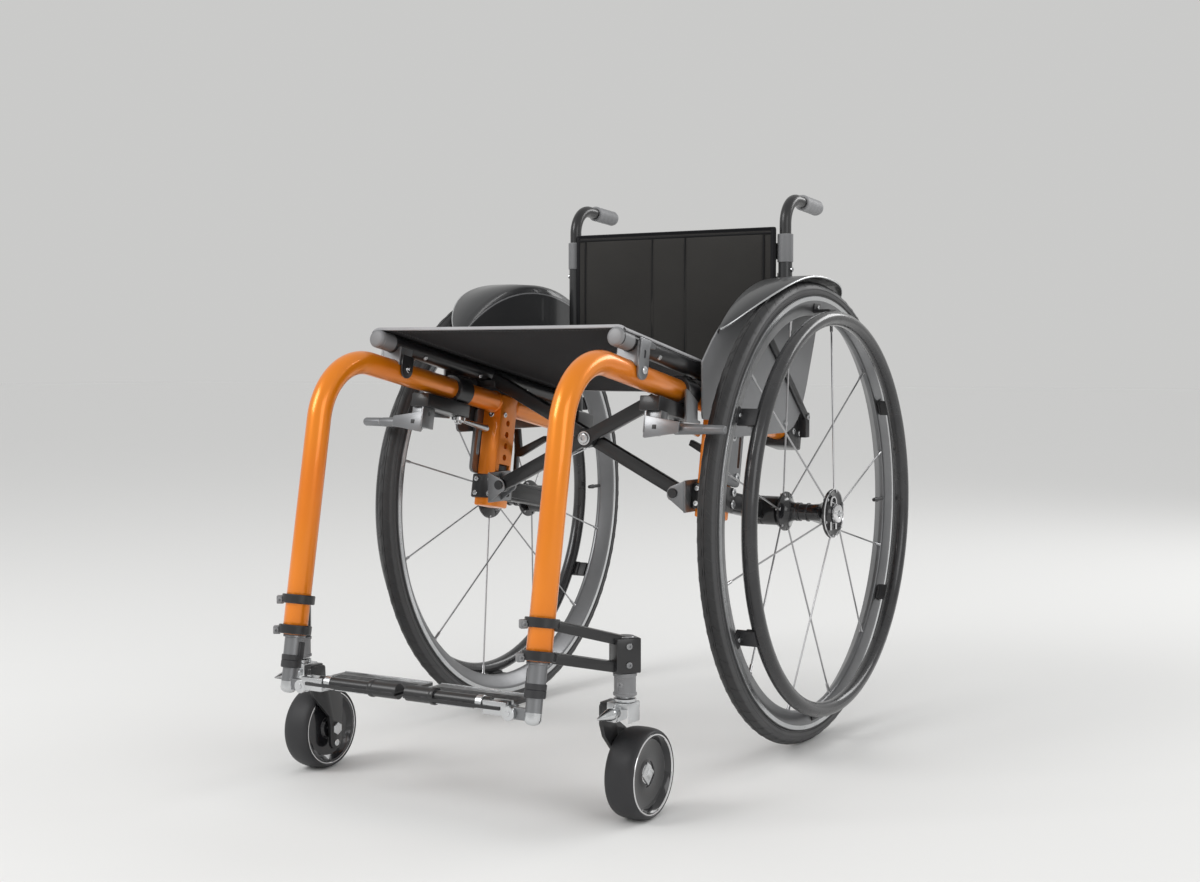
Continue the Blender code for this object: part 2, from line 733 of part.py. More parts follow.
# seat sling: a taut sheet over both seat rails with its hems turned down outside them
sling_half = SEAT_RAIL_X + SEAT_RAIL_RADIUS + CLEARANCE
rise_low = SEAT_RAIL_RADIUS + CLEARANCE
rise_top = rise_low + SLING_THICKNESS
hem = []
under = []
for a in (90, 72, 54, 36):
    c = cos(radians(a))
    s = sin(radians(a))
    hem.append((SEAT_RAIL_X + rise_top * c, rise_top * s))
    under.insert(0, (SEAT_RAIL_X + rise_low * c, rise_low * s))
half = hem + under
outline = half + [(-x, z) for x, z in reversed(half)]


def sling_ring(y):
    base = seat_point(y, 0.0)
    return [base + SIDE * x + ABOVE * z for x, z in outline]


sling_stations = [SEAT_FRONT_Y + 0.005, -0.24, -0.10, SEAT_REAR_Y - 0.004]
seat_sling = loft("seat_sling", [sling_ring(y) for y in sling_stations], FABRIC)

# Cross brace

BRACE_RUN = Vector((cos(BRACE_ANGLE), 0, sin(BRACE_ANGLE)))
lower_length = PIVOT_X / cos(BRACE_ANGLE)
centre_z = PIVOT_Z + PIVOT_X * tan(BRACE_ANGLE)
BRACE_CENTRE = Vector((0, BRACE_Y, centre_z))


def cross_bar(name, mirror):
    """The bar from the right lower pivot to the left seat rail, or its mirror image."""
    offset = (BAR_GAP + BAR_THICKNESS) / 2
    y = BRACE_Y - offset if mirror == 1 else BRACE_Y + offset
    run = Vector((mirror * BRACE_RUN.x, 0, BRACE_RUN.z))
    up = Vector((-mirror * BRACE_RUN.z, 0, BRACE_RUN.x))
    low = Vector((-mirror * PIVOT_X, y, PIVOT_Z))
    rail_z = seat_point(y).z
    reach = (Vector((mirror * SEAT_RAIL_X, y, rail_z)) - low).dot(run)
    length = reach - SEAT_RAIL_RADIUS - 0.0062
    mid = low + run * (length / 2)
    basis = (run, Vector((0, 1, 0)), up)
    bar = block(name, mid, (length, BAR_THICKNESS, BAR_HEIGHT), BLACK_PAINT, basis)
    eye_from = (low.x, y - BAR_THICKNESS / 2, low.z)
    eye_to = (low.x, y + BAR_THICKNESS / 2, low.z)
    join(bar, shaft("eye", eye_from, eye_to, BAR_END_RADIUS, BLACK_PAINT, 16))
    front_y = y - BAR_THICKNESS / 2
    shoe_low_z = rail_point(front_y).z + TUBE_RADIUS / cos(SEAT_TILT) + 0.0010
    shoe_high_z = rail_z - SEAT_RAIL_RADIUS + 0.0030
    shoe_mid = (mirror * (SEAT_RAIL_X - 0.0075), y, (shoe_low_z + shoe_high_z) / 2)
    rail_shoe = block(
        "rail_shoe", shoe_mid, (0.029, BAR_THICKNESS + 0.002, shoe_high_z - shoe_low_z), BLACK_PAINT
    )
    join(bar, rail_shoe)
    saddle_cut = shaft(
        "rail_cut",
        seat_point(y - 0.03, mirror * SEAT_RAIL_X),
        seat_point(y + 0.03, mirror * SEAT_RAIL_X),
        SEAT_RAIL_RADIUS + CLEARANCE,
        BLACK_PAINT,
        20,
    )
    cut(bar, saddle_cut)
    for x, z in ((low.x, low.z), (0.0, centre_z)):
        bore = shaft("bore", (x, y - 0.02, z), (x, y + 0.02, z), PIVOT_PIN_RADIUS + 0.0004, BLACK_PAINT, 12)
        cut(bar, bore)
    finish(bar, BLACK_PAINT)
    bar.name = name
    bar.data.name = name
    return bar


bar_a = cross_bar("cross_bar_a", 1)
bar_b = cross_bar("cross_bar_b", -1)
PIVOTS["cross_bar_a"] = (-PIVOT_X, BRACE_Y, PIVOT_Z)
PIVOTS["cross_bar_b"] = tuple(BRACE_CENTRE)

brace_half = BAR_THICKNESS + BAR_GAP / 2
bolt_outline = [
    (-brace_half - 0.0045, 0.0010),
    (-brace_half - 0.0045, 0.0075),
    (-brace_half - CLEARANCE, 0.0075),
    (-brace_half - CLEARANCE, PIVOT_PIN_RADIUS),
    (brace_half + CLEARANCE, PIVOT_PIN_RADIUS),
    (brace_half + CLEARANCE, 0.0065),
    (brace_half + 0.0045, 0.0065),
    (brace_half + 0.0045, 0.0010),
]
bolt = turned("centre_bolt", bolt_outline, BRACE_CENTRE, (0, 1, 0), BARE_METAL, 12)

# lower bracket: a clevis on the upright's inner face with the lower pivot's pin
bracket_front = BRACE_Y - brace_half - CLEARANCE
bracket_rear = BRACE_Y + brace_half + CLEARANCE
base_x = UPRIGHT_X - UPRIGHT_WIDTH / 2 - 0.004 - CLEARANCE  # against the carrier's sleeve
cheek_outline = [
    (PIVOT_X - 0.008, PIVOT_Z - 0.005),
    (PIVOT_X - 0.003, PIVOT_Z - 0.0095),
    (base_x - 0.001, PIVOT_Z - 0.024),
    (base_x - 0.001, PIVOT_Z + 0.016),
    (PIVOT_X - 0.002, PIVOT_Z + 0.0085),
    (PIVOT_X - 0.008, PIVOT_Z + 0.004),
]
front_cheek = slab("cheek", cheek_outline, bracket_front - 0.003, bracket_front, GRAPHITE, "y")
rear_cheek = slab("cheek", cheek_outline, bracket_rear, bracket_rear + 0.003, GRAPHITE, "y")
back_plate = slab(
    "back_plate",
    [
        (bracket_front - 0.003, PIVOT_Z - 0.024),
        (bracket_rear + 0.024, PIVOT_Z - 0.024),
        (bracket_rear + 0.024, PIVOT_Z + 0.016),
        (bracket_front - 0.003, PIVOT_Z + 0.016),
    ],
    base_x - 0.003,
    base_x,
    GRAPHITE,
)
pin = shaft(
    "pin",
    (PIVOT_X, bracket_front - 0.0055, PIVOT_Z),
    (PIVOT_X, bracket_rear + 0.0055, PIVOT_Z),
    PIVOT_PIN_RADIUS,
    GRAPHITE,
    12,
)
bracket = join(back_plate, front_cheek, rear_cheek, pin)
finish(bracket, GRAPHITE)
pair(bracket, "brace_bracket")

# Casters

block_low = 0.1660
block_high = 0.2035
leg_low_z = 0.1895
leg_high_z = 0.2235
plan = Vector((STEM_X - FRAME_X, STEM_Y - leg_point(0.208).y, 0)).normalized()
plan_across = Vector((-plan.y, plan.x, 0))
caster_plate = block(
    "end_block",
    (STEM_X, STEM_Y, (block_low + block_high) / 2),
    (0.028, 0.024, block_high - block_low),
    BLACK_PAINT,
    (plan, plan_across, Vector((0, 0, 1))),
)
for leg_z, block_z in ((leg_high_z, block_high - 0.0045), (leg_low_z, block_low + 0.0040)):
    start = leg_point(leg_z)
    end = Vector((STEM_X, STEM_Y, block_z))
    run = (end - start).normalized()
    up = run.cross(plan_across).normalized()
    if up.z < 0:
        up = -up
    arm_size = ((end - start).length, 0.0155, 0.0080)
    arm_bar = block("arm_bar", (start + end) / 2, arm_size, BLACK_PAINT, (run, plan_across, up))
    band = shaft(
        "band", start - LEG_UP * 0.0052, start + LEG_UP * 0.0052, TUBE_RADIUS + 0.0048, BLACK_PAINT, 16
    )
    join(caster_plate, arm_bar, band)
core_low = leg_point(LEG_FOOT_Z - 0.03)
core_high = leg_point(LEG_FOOT_Z + 0.09)
leg_core = shaft("leg_core", core_low, core_high, TUBE_RADIUS + CLEARANCE, BLACK_PAINT, 16)
spigot_top = block_high - 0.010
socket = shaft(
    "socket", (STEM_X, STEM_Y, block_low - 0.01), (STEM_X, STEM_Y, spigot_top), 0.0103, BLACK_PAINT, 16
)
cut(caster_plate, leg_core, socket)
finish(caster_plate, BLACK_PAINT)
pair(caster_plate, "caster_plate")

housing_low = 0.1410
housing_outline = [
    (housing_low, STEM_BORE),
    (housing_low, 0.0118),
    (housing_low + 0.001, 0.0128),
    (block_low - CLEARANCE, 0.0128),
    (block_low - CLEARANCE, 0.0100),
    (spigot_top - 0.0005, 0.0100),
    (spigot_top - 0.0005, STEM_BORE),
]
housing = turned("housing", housing_outline, (STEM_X, STEM_Y, 0), (0, 0, 1), BARE_METAL, 12)
pair(housing, "caster_housing")

# single-arm fork with its stem, head, arm and axle bolt
head_low = 0.1130
head_high = 0.1345
STEM_AXIS = (STEM_X, STEM_Y, head_high)
head_mid = (STEM_X - 0.002, STEM_Y, (head_low + head_high) / 2)
head = block("head", head_mid, (0.027, 0.025, head_high - head_low), BARE_METAL)
stem_base = (STEM_X, STEM_Y, head_high - 0.005)
stem = shaft("stem", stem_base, (STEM_X, STEM_Y, 0.182), STEM_RADIUS, BARE_METAL, 12)
arm_outline = [
    (STEM_Y - 0.012, head_high - 0.004),
    (STEM_Y - 0.012, head_low - 0.004),
    (CASTER_Y - 0.010, 0.058),
    (CASTER_Y - 0.009, 0.030),
    (CASTER_Y - 0.004, 0.0245),
    (CASTER_Y + 0.004, 0.0245),
    (CASTER_Y + 0.009, 0.030),
    (CASTER_Y + 0.011, 0.060),
    (CASTER_Y + 0.014, 0.088),
    (STEM_Y + 0.015, head_low + 0.006),
    (STEM_Y + 0.015, head_high - 0.004),
]
arm_plate = slab("arm_plate", arm_outline, ARM_OUTER_X - ARM_THICKNESS, ARM_OUTER_X, BARE_METAL)
link = block(
    "link", (ARM_OUTER_X + 0.004, STEM_Y, (head_low + head_high) / 2), (0.016, 0.023, 0.0195), BARE_METAL
)
point_x = STEM_X - 0.004
point_z = 0.124
point_base = Vector((point_x, STEM_Y - 0.008, point_z))
point_mid = Vector((point_x, STEM_Y - 0.040, point_z))
point_end = Vector((point_x, STEM_Y - 0.052, point_z))
point = shaft("point", point_base, point_mid, 0.0060, BARE_METAL, 10, 0.0035)
point_tip = shaft("point_tip", point_mid + Vector((0, 0.001, 0)), point_end, 0.0034, BARE_METAL, 10, 0.0006)
caster_face = CASTER_X + CASTER_WIDTH / 2
axle_bolt = shaft(
    "axle_bolt",
    (ARM_OUTER_X - ARM_THICKNESS - 0.003, CASTER_Y, CASTER_RADIUS),
    (caster_face - 0.0025, CASTER_Y, CASTER_RADIUS),
    0.0040,
    BARE_METAL,
    12,
)
bolt_head = shaft(
    "bolt_head",
    (caster_face - 0.0085, CASTER_Y, CASTER_RADIUS),
    (caster_face - 0.0040, CASTER_Y, CASTER_RADIUS),
    0.0085,
    BARE_METAL,
    6,
)
spare_bolt = shaft(
    "spare_bolt",
    (ARM_OUTER_X - ARM_THICKNESS - 0.003, CASTER_Y, 0.0325),
    (ARM_OUTER_X - 0.002, CASTER_Y, 0.0325),
    0.0040,
    BARE_METAL,
    8,
)
fork = join(head, stem, link, arm_plate, point, point_tip, axle_bolt, bolt_head, spare_bolt)
finish(fork, BARE_METAL)
pair(fork, "caster_fork", STEM_AXIS)

CASTER_CENTRE = (CASTER_X, CASTER_Y, CASTER_RADIUS)
half_width = CASTER_WIDTH / 2
caster_outline = [
    (-half_width + 0.001, CASTER_HUB_RADIUS + CLEARANCE),
    (half_width - 0.001, CASTER_HUB_RADIUS + CLEARANCE),
    (half_width - 0.0005, CASTER_RADIUS - 0.0045),
    (half_width - 0.0045, CASTER_RADIUS - 0.0015),
    (half_width - 0.0100, CASTER_RADIUS),
    (-half_width + 0.0100, CASTER_RADIUS),
    (-half_width + 0.0045, CASTER_RADIUS - 0.0015),
    (-half_width + 0.0005, CASTER_RADIUS - 0.0045),
]
caster_tyre = turned("caster_tyre", caster_outline, CASTER_CENTRE, SIDE, CASTER_RUBBER, 22)
pair(caster_tyre, "caster_tyre", CASTER_CENTRE)
caster_bore = 0.0044
face_step = half_width - 0.0100
caster_hub_outline = [
    (-half_width + 0.0030, caster_bore),
    (-half_width + 0.0030, CASTER_HUB_RADIUS - 0.0060),
    (-half_width + 0.0010, CASTER_HUB_RADIUS - 0.0040),
    (-half_width + 0.0010, CASTER_HUB_RADIUS),
    (half_width - 0.0010, CASTER_HUB_RADIUS),
    (half_width - 0.0010, CASTER_HUB_RADIUS - 0.0022),
    (face_step, CASTER_HUB_RADIUS - 0.0060),
    (face_step - 0.0010, 0.0140),
    (face_step + 0.0010, 0.0110),
    (face_step + 0.0010, caster_bore),
]
caster_hub = turned("caster_hub", caster_hub_outline, CASTER_CENTRE, SIDE, HUB_METAL, 22)
pair(caster_hub, "caster_hub", CASTER_CENTRE)

# Back

cane_low = 0.384
cane_bore = HANDLE_RADIUS + CLEARANCE
collar_low = CANE_TOP_Z - 0.038
cane_outline = [
    (cane_low, 0.0010),
    (cane_low, CANE_RADIUS),
    (collar_low, CANE_RADIUS),
    (collar_low, CANE_RADIUS + 0.0012),
    (CANE_TOP_Z, CANE_RADIUS + 0.0012),
    (CANE_TOP_Z, cane_bore),
    (0.5600, cane_bore),
    (0.5600, 0.0010),
]
cane = turned("cane", cane_outline, (FRAME_X, CANE_Y, 0), (0, 0, 1), BLACK_PAINT, 12)
foot_z = rail_point(CANE_Y).z
cane_foot = block(
    "cane_foot", (FRAME_X, 0.0700, foot_z), (0.036, 0.044, 0.044), BLACK_PAINT, (SIDE, ALONG, ABOVE)
)
join(cane, cane_foot)
socket_front = rail_point(0.030)
socket_rear = rail_point(RAIL_REAR_Y + 0.0005)
rail_socket = shaft("rail_socket", socket_front, socket_rear, TUBE_RADIUS + CLEARANCE, BLACK_PAINT, 20)
cut(cane, rail_socket)
guard_out = GUARD_X + GUARD_THICKNESS + CLEARANCE
hook_in = 0.176
hook_out = guard_out + 0.004
hook_mid = ((hook_in + hook_out) / 2, 0.0850, 0.4100)
hook = block("hook", hook_mid, (hook_out - hook_in, 0.013, 0.034), BLACK_PAINT)
strut_start = Vector((guard_out + 0.002, 0.086, 0.418))
strut_end = Vector((guard_out + 0.002, -0.043, 0.5326))
strut_run = (strut_end - strut_start).normalized()
strut = block(
    "strut",
    (strut_start + strut_end) / 2,
    (0.004, (strut_end - strut_start).length, 0.012),
    BLACK_PAINT,
    (SIDE, strut_run, SIDE.cross(strut_run)),
)
join(cane, hook, strut)
finish(cane, BLACK_PAINT)
pair(cane, "back_cane")

handle_path = [(FRAME_X, CANE_Y, 0.5615), (FRAME_X, CANE_Y, HANDLE_Z - HANDLE_BEND)]
for i in range(1, 7):
    a = (pi / 2 + radians(4)) * i / 6
    handle_path.append(
        (FRAME_X, CANE_Y + HANDLE_BEND * (1 - cos(a)), HANDLE_Z - HANDLE_BEND + HANDLE_BEND * sin(a))
    )
y0, z0 = handle_path[-1][1], handle_path[-1][2]
handle_drop = tan(radians(4))
handle_path.append((FRAME_X, HANDLE_END_Y - 0.004, z0 - handle_drop * (HANDLE_END_Y - 0.004 - y0)))
handle = rod("handle", handle_path, HANDLE_RADIUS, BLACK_PAINT, 12)
pair(handle, "push_handle")
grip_start = Vector((FRAME_X, 0.126, z0 - handle_drop * (0.126 - y0)))
grip_run = Vector((0, cos(radians(4)), -sin(radians(4))))
grip_length = (HANDLE_END_Y - 0.126) / cos(radians(4))
tube_length = grip_length - 0.004 / cos(radians(4)) + CLEARANCE
grip_outline = [
    (0, cane_bore),
    (0, GRIP_RADIUS - 0.001),
    (0.002, GRIP_RADIUS),
    (grip_length - 0.003, GRIP_RADIUS),
    (grip_length, GRIP_RADIUS - 0.003),
    (grip_length, 0.0010),
    (tube_length, 0.0010),
    (tube_length, cane_bore),
]
grip = turned("grip", grip_outline, grip_start, grip_run, GRIP_RUBBER, 12)
pair(grip, "hand_grip")

# back sling: a padded panel between the canes with a slight crown
crown = 0.0035
columns = 9
rows = 5
back_verts = []
back_faces = []
for layer in (0, 1):
    for j in range(rows):
        for i in range(columns):
            u = 2 * i / (columns - 1) - 1
            v = 2 * j / (rows - 1) - 1
            swell = (1 - u * u) * (1 - v * v)
            y = BACK_FRONT_Y - crown * swell if layer == 0 else BACK_FRONT_Y + BACK_THICKNESS
            z = (BACK_TOP_Z + BACK_BOTTOM_Z) / 2 + v * (BACK_TOP_Z - BACK_BOTTOM_Z) / 2
            back_verts.append((u * BACK_HALF_WIDTH, y, z))
count = rows * columns
for j in range(rows - 1):
    for i in range(columns - 1):
        a = j * columns + i
        back_faces.append((a, a + 1, a + columns + 1, a + columns))
        b = a + count
        back_faces.append((b, b + columns, b + columns + 1, b + 1))
edge = list(range(columns))
edge += [j * columns + columns - 1 for j in range(1, rows)]
edge += [(rows - 1) * columns + i for i in range(columns - 2, -1, -1)]
edge += [j * columns for j in range(rows - 2, 0, -1)]
for k, a in enumerate(edge):
    b = edge[(k + 1) % len(edge)]
    back_faces.append((a, a + count, b + count, b))
back_sling = mesh_object("back_sling", back_verts, back_faces, BACK_FABRIC)

# Side guards

guard_outline = [(-0.219, 0.426), (-0.2195, AXLE_HEIGHT + sqrt(GUARD_ARC**2 - 0.2195**2))]
for degrees in (131, 124, 116, 108, 100, 92, 84, 76, 68, 62):
    a = radians(degrees)
    guard_outline.append((GUARD_ARC * cos(a), AXLE_HEIGHT + GUARD_ARC * sin(a)))
guard_outline += [(0.112, 0.515), (0.099, 0.485), (0.082, 0.448)]
guard_outline += [(0.060, 0.418), (0.028, 0.402), (-0.19, 0.402)]
guard = slab("guard", guard_outline, GUARD_X, GUARD_X + GUARD_THICKNESS, GUARD_PLASTIC)
fender_section = [
    (GUARD_X, GUARD_ARC - 0.003),
    (GUARD_X + GUARD_THICKNESS, GUARD_ARC - 0.003),
    (GUARD_X + 0.0050, FENDER_ARC - 0.0045),
    (GUARD_X + 0.0120, FENDER_ARC),
    (FENDER_OUT_X, FENDER_ARC + 0.0010),
    (FENDER_OUT_X, FENDER_ARC + 0.0030),
    (GUARD_X + 0.0110, FENDER_ARC + 0.0020),
    (GUARD_X + 0.0010, FENDER_ARC - 0.0030),
]
fender_rings = []
fender_steps = 14
for k in range(fender_steps + 1):
    a = radians(137 - (137 - 58) * k / fender_steps)
    fender_rings.append([Vector((x, r * cos(a), AXLE_HEIGHT + r * sin(a))) for x, r in fender_section])
fender = loft("fender", fender_rings, GUARD_PLASTIC)
join(guard, fender)
finish(guard, GUARD_PLASTIC)
pair(guard, "side_guard")

# Footrest

post_socket = TUBE_RADIUS - TUBE_WALL - CLEARANCE
post_outline = [
    (-0.055, 0.0010),
    (-0.055, post_socket),
    (-0.002, post_socket),
    (-0.002, POST_RADIUS),
    (0.0235, POST_RADIUS),
    (0.0235, POST_RADIUS + 0.0012),
    (0.0375, POST_RADIUS + 0.0012),
    (0.0375, 0.0089),
    (0.0610, 0.0089),
    (0.0610, 0.0055),
    (0.0660, 0.0040),
    (0.0660, 0.0010),
]
post = turned("post", post_outline, leg_point(LEG_FOOT_Z), -LEG_UP, BARE_METAL, 12)
lug_half = 0.0026
lug_radius = 0.0065
lug_outline = [(FRAME_X, FOOT_PIVOT_Z - lug_radius), (FRAME_X, FOOT_PIVOT_Z + lug_radius)]
for k in range(5):
    a = pi / 2 + pi * k / 4
    lug_outline.append((FOOT_PIVOT_X + lug_radius * cos(a), FOOT_PIVOT_Z + lug_radius * sin(a)))
lug = slab("lug", lug_outline, FOOT_Y - lug_half, FOOT_Y + lug_half, BARE_METAL, "y")


def pivot_shaft(name, half, radius, made_of):
    """A round piece on the footplate's pivot line."""
    start = (FOOT_PIVOT_X, FOOT_Y - half, FOOT_PIVOT_Z)
    end = (FOOT_PIVOT_X, FOOT_Y + half, FOOT_PIVOT_Z)
    return shaft(name, start, end, radius, made_of, 12)


join(post, lug, pivot_shaft("foot_pin", FOOT_PIN_HALF, FOOT_PIN_RADIUS, BARE_METAL))
finish(post, BARE_METAL)
pair(post, "footrest_post")

bar_z = FOOT_PIVOT_Z + FOOT_BAR_RADIUS
plate_front_y = FOOT_Y - PLATE_LIP
knuckle = pivot_shaft("knuckle", 0.0085, 0.0078, BLACK_PAINT)
fitting_mid = (FOOT_PIVOT_X - 0.0170, FOOT_Y, FOOT_PIVOT_Z + 0.0040)
fitting = block("fitting", fitting_mid, (0.0300, 0.0160, 0.0150), BLACK_PAINT)
bar_start = (FOOT_PIVOT_X - 0.020, FOOT_Y, bar_z)
foot_bar = shaft("foot_bar", bar_start, (FOOT_GAP, FOOT_Y, bar_z), FOOT_BAR_RADIUS, BLACK_PAINT, 12)
collar_start = (FOOT_COLLAR_X - 0.006, FOOT_Y, bar_z)
collar_end = (FOOT_COLLAR_X + 0.006, FOOT_Y, bar_z)
foot_collar = shaft("foot_collar", collar_start, collar_end, FOOT_BAR_RADIUS + 0.0022, BLACK_PAINT, 12)
foot_plate = block(
    "foot_plate",
    ((FOOT_GAP + PLATE_OUT_X) / 2, (plate_front_y + FOOT_REAR_Y) / 2, bar_z - PLATE_DROP),
    (PLATE_OUT_X - FOOT_GAP, FOOT_REAR_Y - plate_front_y, PLATE_THICKNESS),
    BLACK_PAINT,
)
foot_half = join(fitting, knuckle, foot_bar, foot_collar, foot_plate)
slot_width = (lug_half + CLEARANCE) * 2
slot_mid = (FOOT_PIVOT_X + 0.001, FOOT_Y, FOOT_PIVOT_Z)
slot = block("slot", slot_mid, (0.0300, slot_width, 0.0400), BLACK_PAINT)
cut(foot_half, slot, pivot_shaft("foot_bore", 0.02, FOOT_PIN_RADIUS + 0.0004, BLACK_PAINT))
finish(foot_half, BLACK_PAINT)
pair(foot_half, "footplate", (FOOT_PIVOT_X, FOOT_Y, FOOT_PIVOT_Z))

# Brakes

clamp_mid = rail_point(BRAKE_CLAMP_Y)
clamp_half = ALONG * (BRAKE_CLAMP_LENGTH / 2)
clamp_outer = TUBE_RADIUS + BRAKE_BAND
brake = shaft("clamp_ring", clamp_mid - clamp_half, clamp_mid + clamp_half, clamp_outer, GRAPHITE, 20)
core_reach = clamp_half * 2
clamp_bore = TUBE_RADIUS + CLEARANCE
clamp_core = shaft("clamp_core", clamp_mid - core_reach, clamp_mid + core_reach, clamp_bore, GRAPHITE, 16)
cut(brake, clamp_core)

shoe_top = SHOE_DROP - BRAKE_LAYER / 2
shoe_low = SHOE_DROP + BRAKE_LAYER / 2
lug_low = shoe_low + CLEARANCE + 0.0030
base_end = (BRAKE_CLAMP_Y + 0.0140 - SHOE_PIVOT_Y) / cos(SEAT_TILT)


def hanger_plate(name, front, rear, x_low, x_high, top, low):
    """A box near the shoe's pivot; front, rear, top and low are from the rail's line."""
    outline = [(front, -top), (rear, -top), (rear, -low), (front, -low)]
    return rail_plate(name, SHOE_PIVOT_Y, outline, x_low, x_high, GRAPHITE)


web_out = SHOE_PIVOT_X - BRAKE_DISC - CLEARANCE * 2
lug_out = SHOE_PIVOT_X + 0.0075
base_bar = hanger_plate(
    "base_bar", -0.0140, base_end, FRAME_X - 0.0140, FRAME_X + 0.0125, BRAKE_BASE_TOP, BRAKE_BASE_LOW
)
shoe_lug = hanger_plate(
    "shoe_lug", -0.0085, 0.0085, web_out - 0.0010, lug_out, BRAKE_BASE_LOW - 0.0010, shoe_top - CLEARANCE
)
web = hanger_plate(
    "web", -0.0125, 0.0125, web_out - 0.0032, web_out, BRAKE_BASE_LOW - 0.0012, lug_low + 0.0006
)
low_lug = hanger_plate(
    "low_lug", -0.0080, 0.0080, web_out - 0.0012, lug_out - 0.0004, shoe_low + CLEARANCE, lug_low
)
flank_x = FRAME_X + clamp_outer - 0.0010
flank = slab(
    "flank",
    [
        (BRAKE_CLAMP_Y - 0.0275, 0.4635),
        (BRAKE_CLAMP_Y - 0.0245, 0.4635),
        (BRAKE_CLAMP_Y + 0.0015, 0.4480),
        (BRAKE_CLAMP_Y + 0.0015, 0.4260),
        (BRAKE_CLAMP_Y + 0.0085, 0.4240),
        (BRAKE_CLAMP_Y + 0.0085, 0.4210),
        (BRAKE_CLAMP_Y - 0.0275, 0.4240),
    ],
    flank_x,
    flank_x + 0.0030,
    GRAPHITE,
)
join(brake, base_bar, shoe_lug, web, low_lug, flank)
for pin_y, pin_x, top, low in (
    (SHOE_PIVOT_Y, SHOE_PIVOT_X, shoe_top - 0.002, lug_low + 0.0015),
    (LEVER_PIVOT_Y, LEVER_PIVOT_X, BRAKE_BASE_LOW - 0.002, BRAKE_BASE_LOW + BRAKE_LAYER + 0.0025),
):
    pin_start = rail_point(pin_y, pin_x, -top)
    join(brake, shaft("pivot", pin_start, pin_start - ABOVE * (low - top), BRAKE_PIN, GRAPHITE, 12))
finish(brake, GRAPHITE)
pair(brake, "brake_body")

shoe_axis = rail_point(SHOE_PIVOT_Y, SHOE_PIVOT_X, -SHOE_DROP)
lever_drop = BRAKE_BASE_LOW + CLEARANCE + BRAKE_LAYER / 2
lever_axis = rail_point(LEVER_PIVOT_Y, LEVER_PIVOT_X, -lever_drop)


def brake_disc(name, axis_point):
    half = ABOVE * (BRAKE_LAYER / 2 - CLEARANCE / 2)
    return shaft(name, axis_point - half, axis_point + half, BRAKE_DISC, GRAPHITE, 16)


def pin_hole(axis_point):
    half = ABOVE * 0.02
    return shaft("pin_hole", axis_point - half, axis_point + half, BRAKE_PIN + 0.0004, GRAPHITE, 12)


shoe = brake_disc("shoe_disc", shoe_axis)
arm_in = 0.004
arm_out = SHOE_BAR_START + 0.003
arm_size = (arm_out - arm_in, 0.0090, BRAKE_LAYER - 0.001)
shoe_arm = block(
    "shoe_arm", shoe_axis + SIDE * (arm_in + arm_out) / 2, arm_size, GRAPHITE, (SIDE, ALONG, ABOVE)
)
bar_in = shoe_axis + SIDE * SHOE_BAR_START
bar_out = shoe_axis + SIDE * SHOE_BAR_END
shoe_bar = shaft("shoe_bar", bar_in, bar_out, SHOE_BAR_RADIUS, GRAPHITE, 12)
join(shoe, shoe_arm, shoe_bar)
cut(shoe, pin_hole(shoe_axis))
finish(shoe, GRAPHITE)
pair(shoe, "brake_shoe", tuple(shoe_axis))

lever = brake_disc("lever_disc", lever_axis)
lever_rod = shaft(
    "lever_rod",
    lever_axis + ALONG * 0.004 - ABOVE * 0.0004,
    lever_axis + ALONG * 0.060 - ABOVE * 0.0022 - SIDE * 0.002,
    0.0026,
    GRAPHITE,
    10,
    0.0048,
)
join(lever, lever_rod)
cut(lever, pin_hole(lever_axis))
finish(lever, GRAPHITE)
pair(lever, "brake_lever", tuple(lever_axis))

# Place and report

bpy.context.view_layer.update()
shift = Vector((0, REAR_AXLE_Y, 0))
low = Vector((9, 9, 9))
high = Vector((-9, -9, -9))
for item in sorted(bpy.data.objects, key=lambda o: o.name):
    mesh = item.data
    mesh.transform(Matrix.Translation(shift))
    for v in mesh.vertices:
        for i in range(3):
            low[i] = min(low[i], v.co[i])
            high[i] = max(high[i], v.co[i])
    if item.name in PIVOTS:
        pivot = Vector(PIVOTS[item.name]) + shift
        mesh.transform(Matrix.Translation(-pivot))
        item.location = pivot
        print("pivot", item.name, [round(c, 5) for c in pivot])
print("bounds", [round(c, 4) for c in low], [round(c, 4) for c in high])
print("faces", sum(len(o.data.loop_triangles) or len(o.data.polygons) for o in bpy.data.objects))
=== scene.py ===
# %% [markdown]
# # An active wheelchair with a folding cross brace
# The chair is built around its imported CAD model, which is loaded first and never moved.
# The CAD model says where each piece is and how it moves; this file gives the pieces their looks.
# The chair faces -Y, its left side is +X, and all lengths are metres.

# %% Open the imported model
from math import cos, pi, radians, sin, sqrt, tan

import bpy
from mathutils import Matrix, Vector


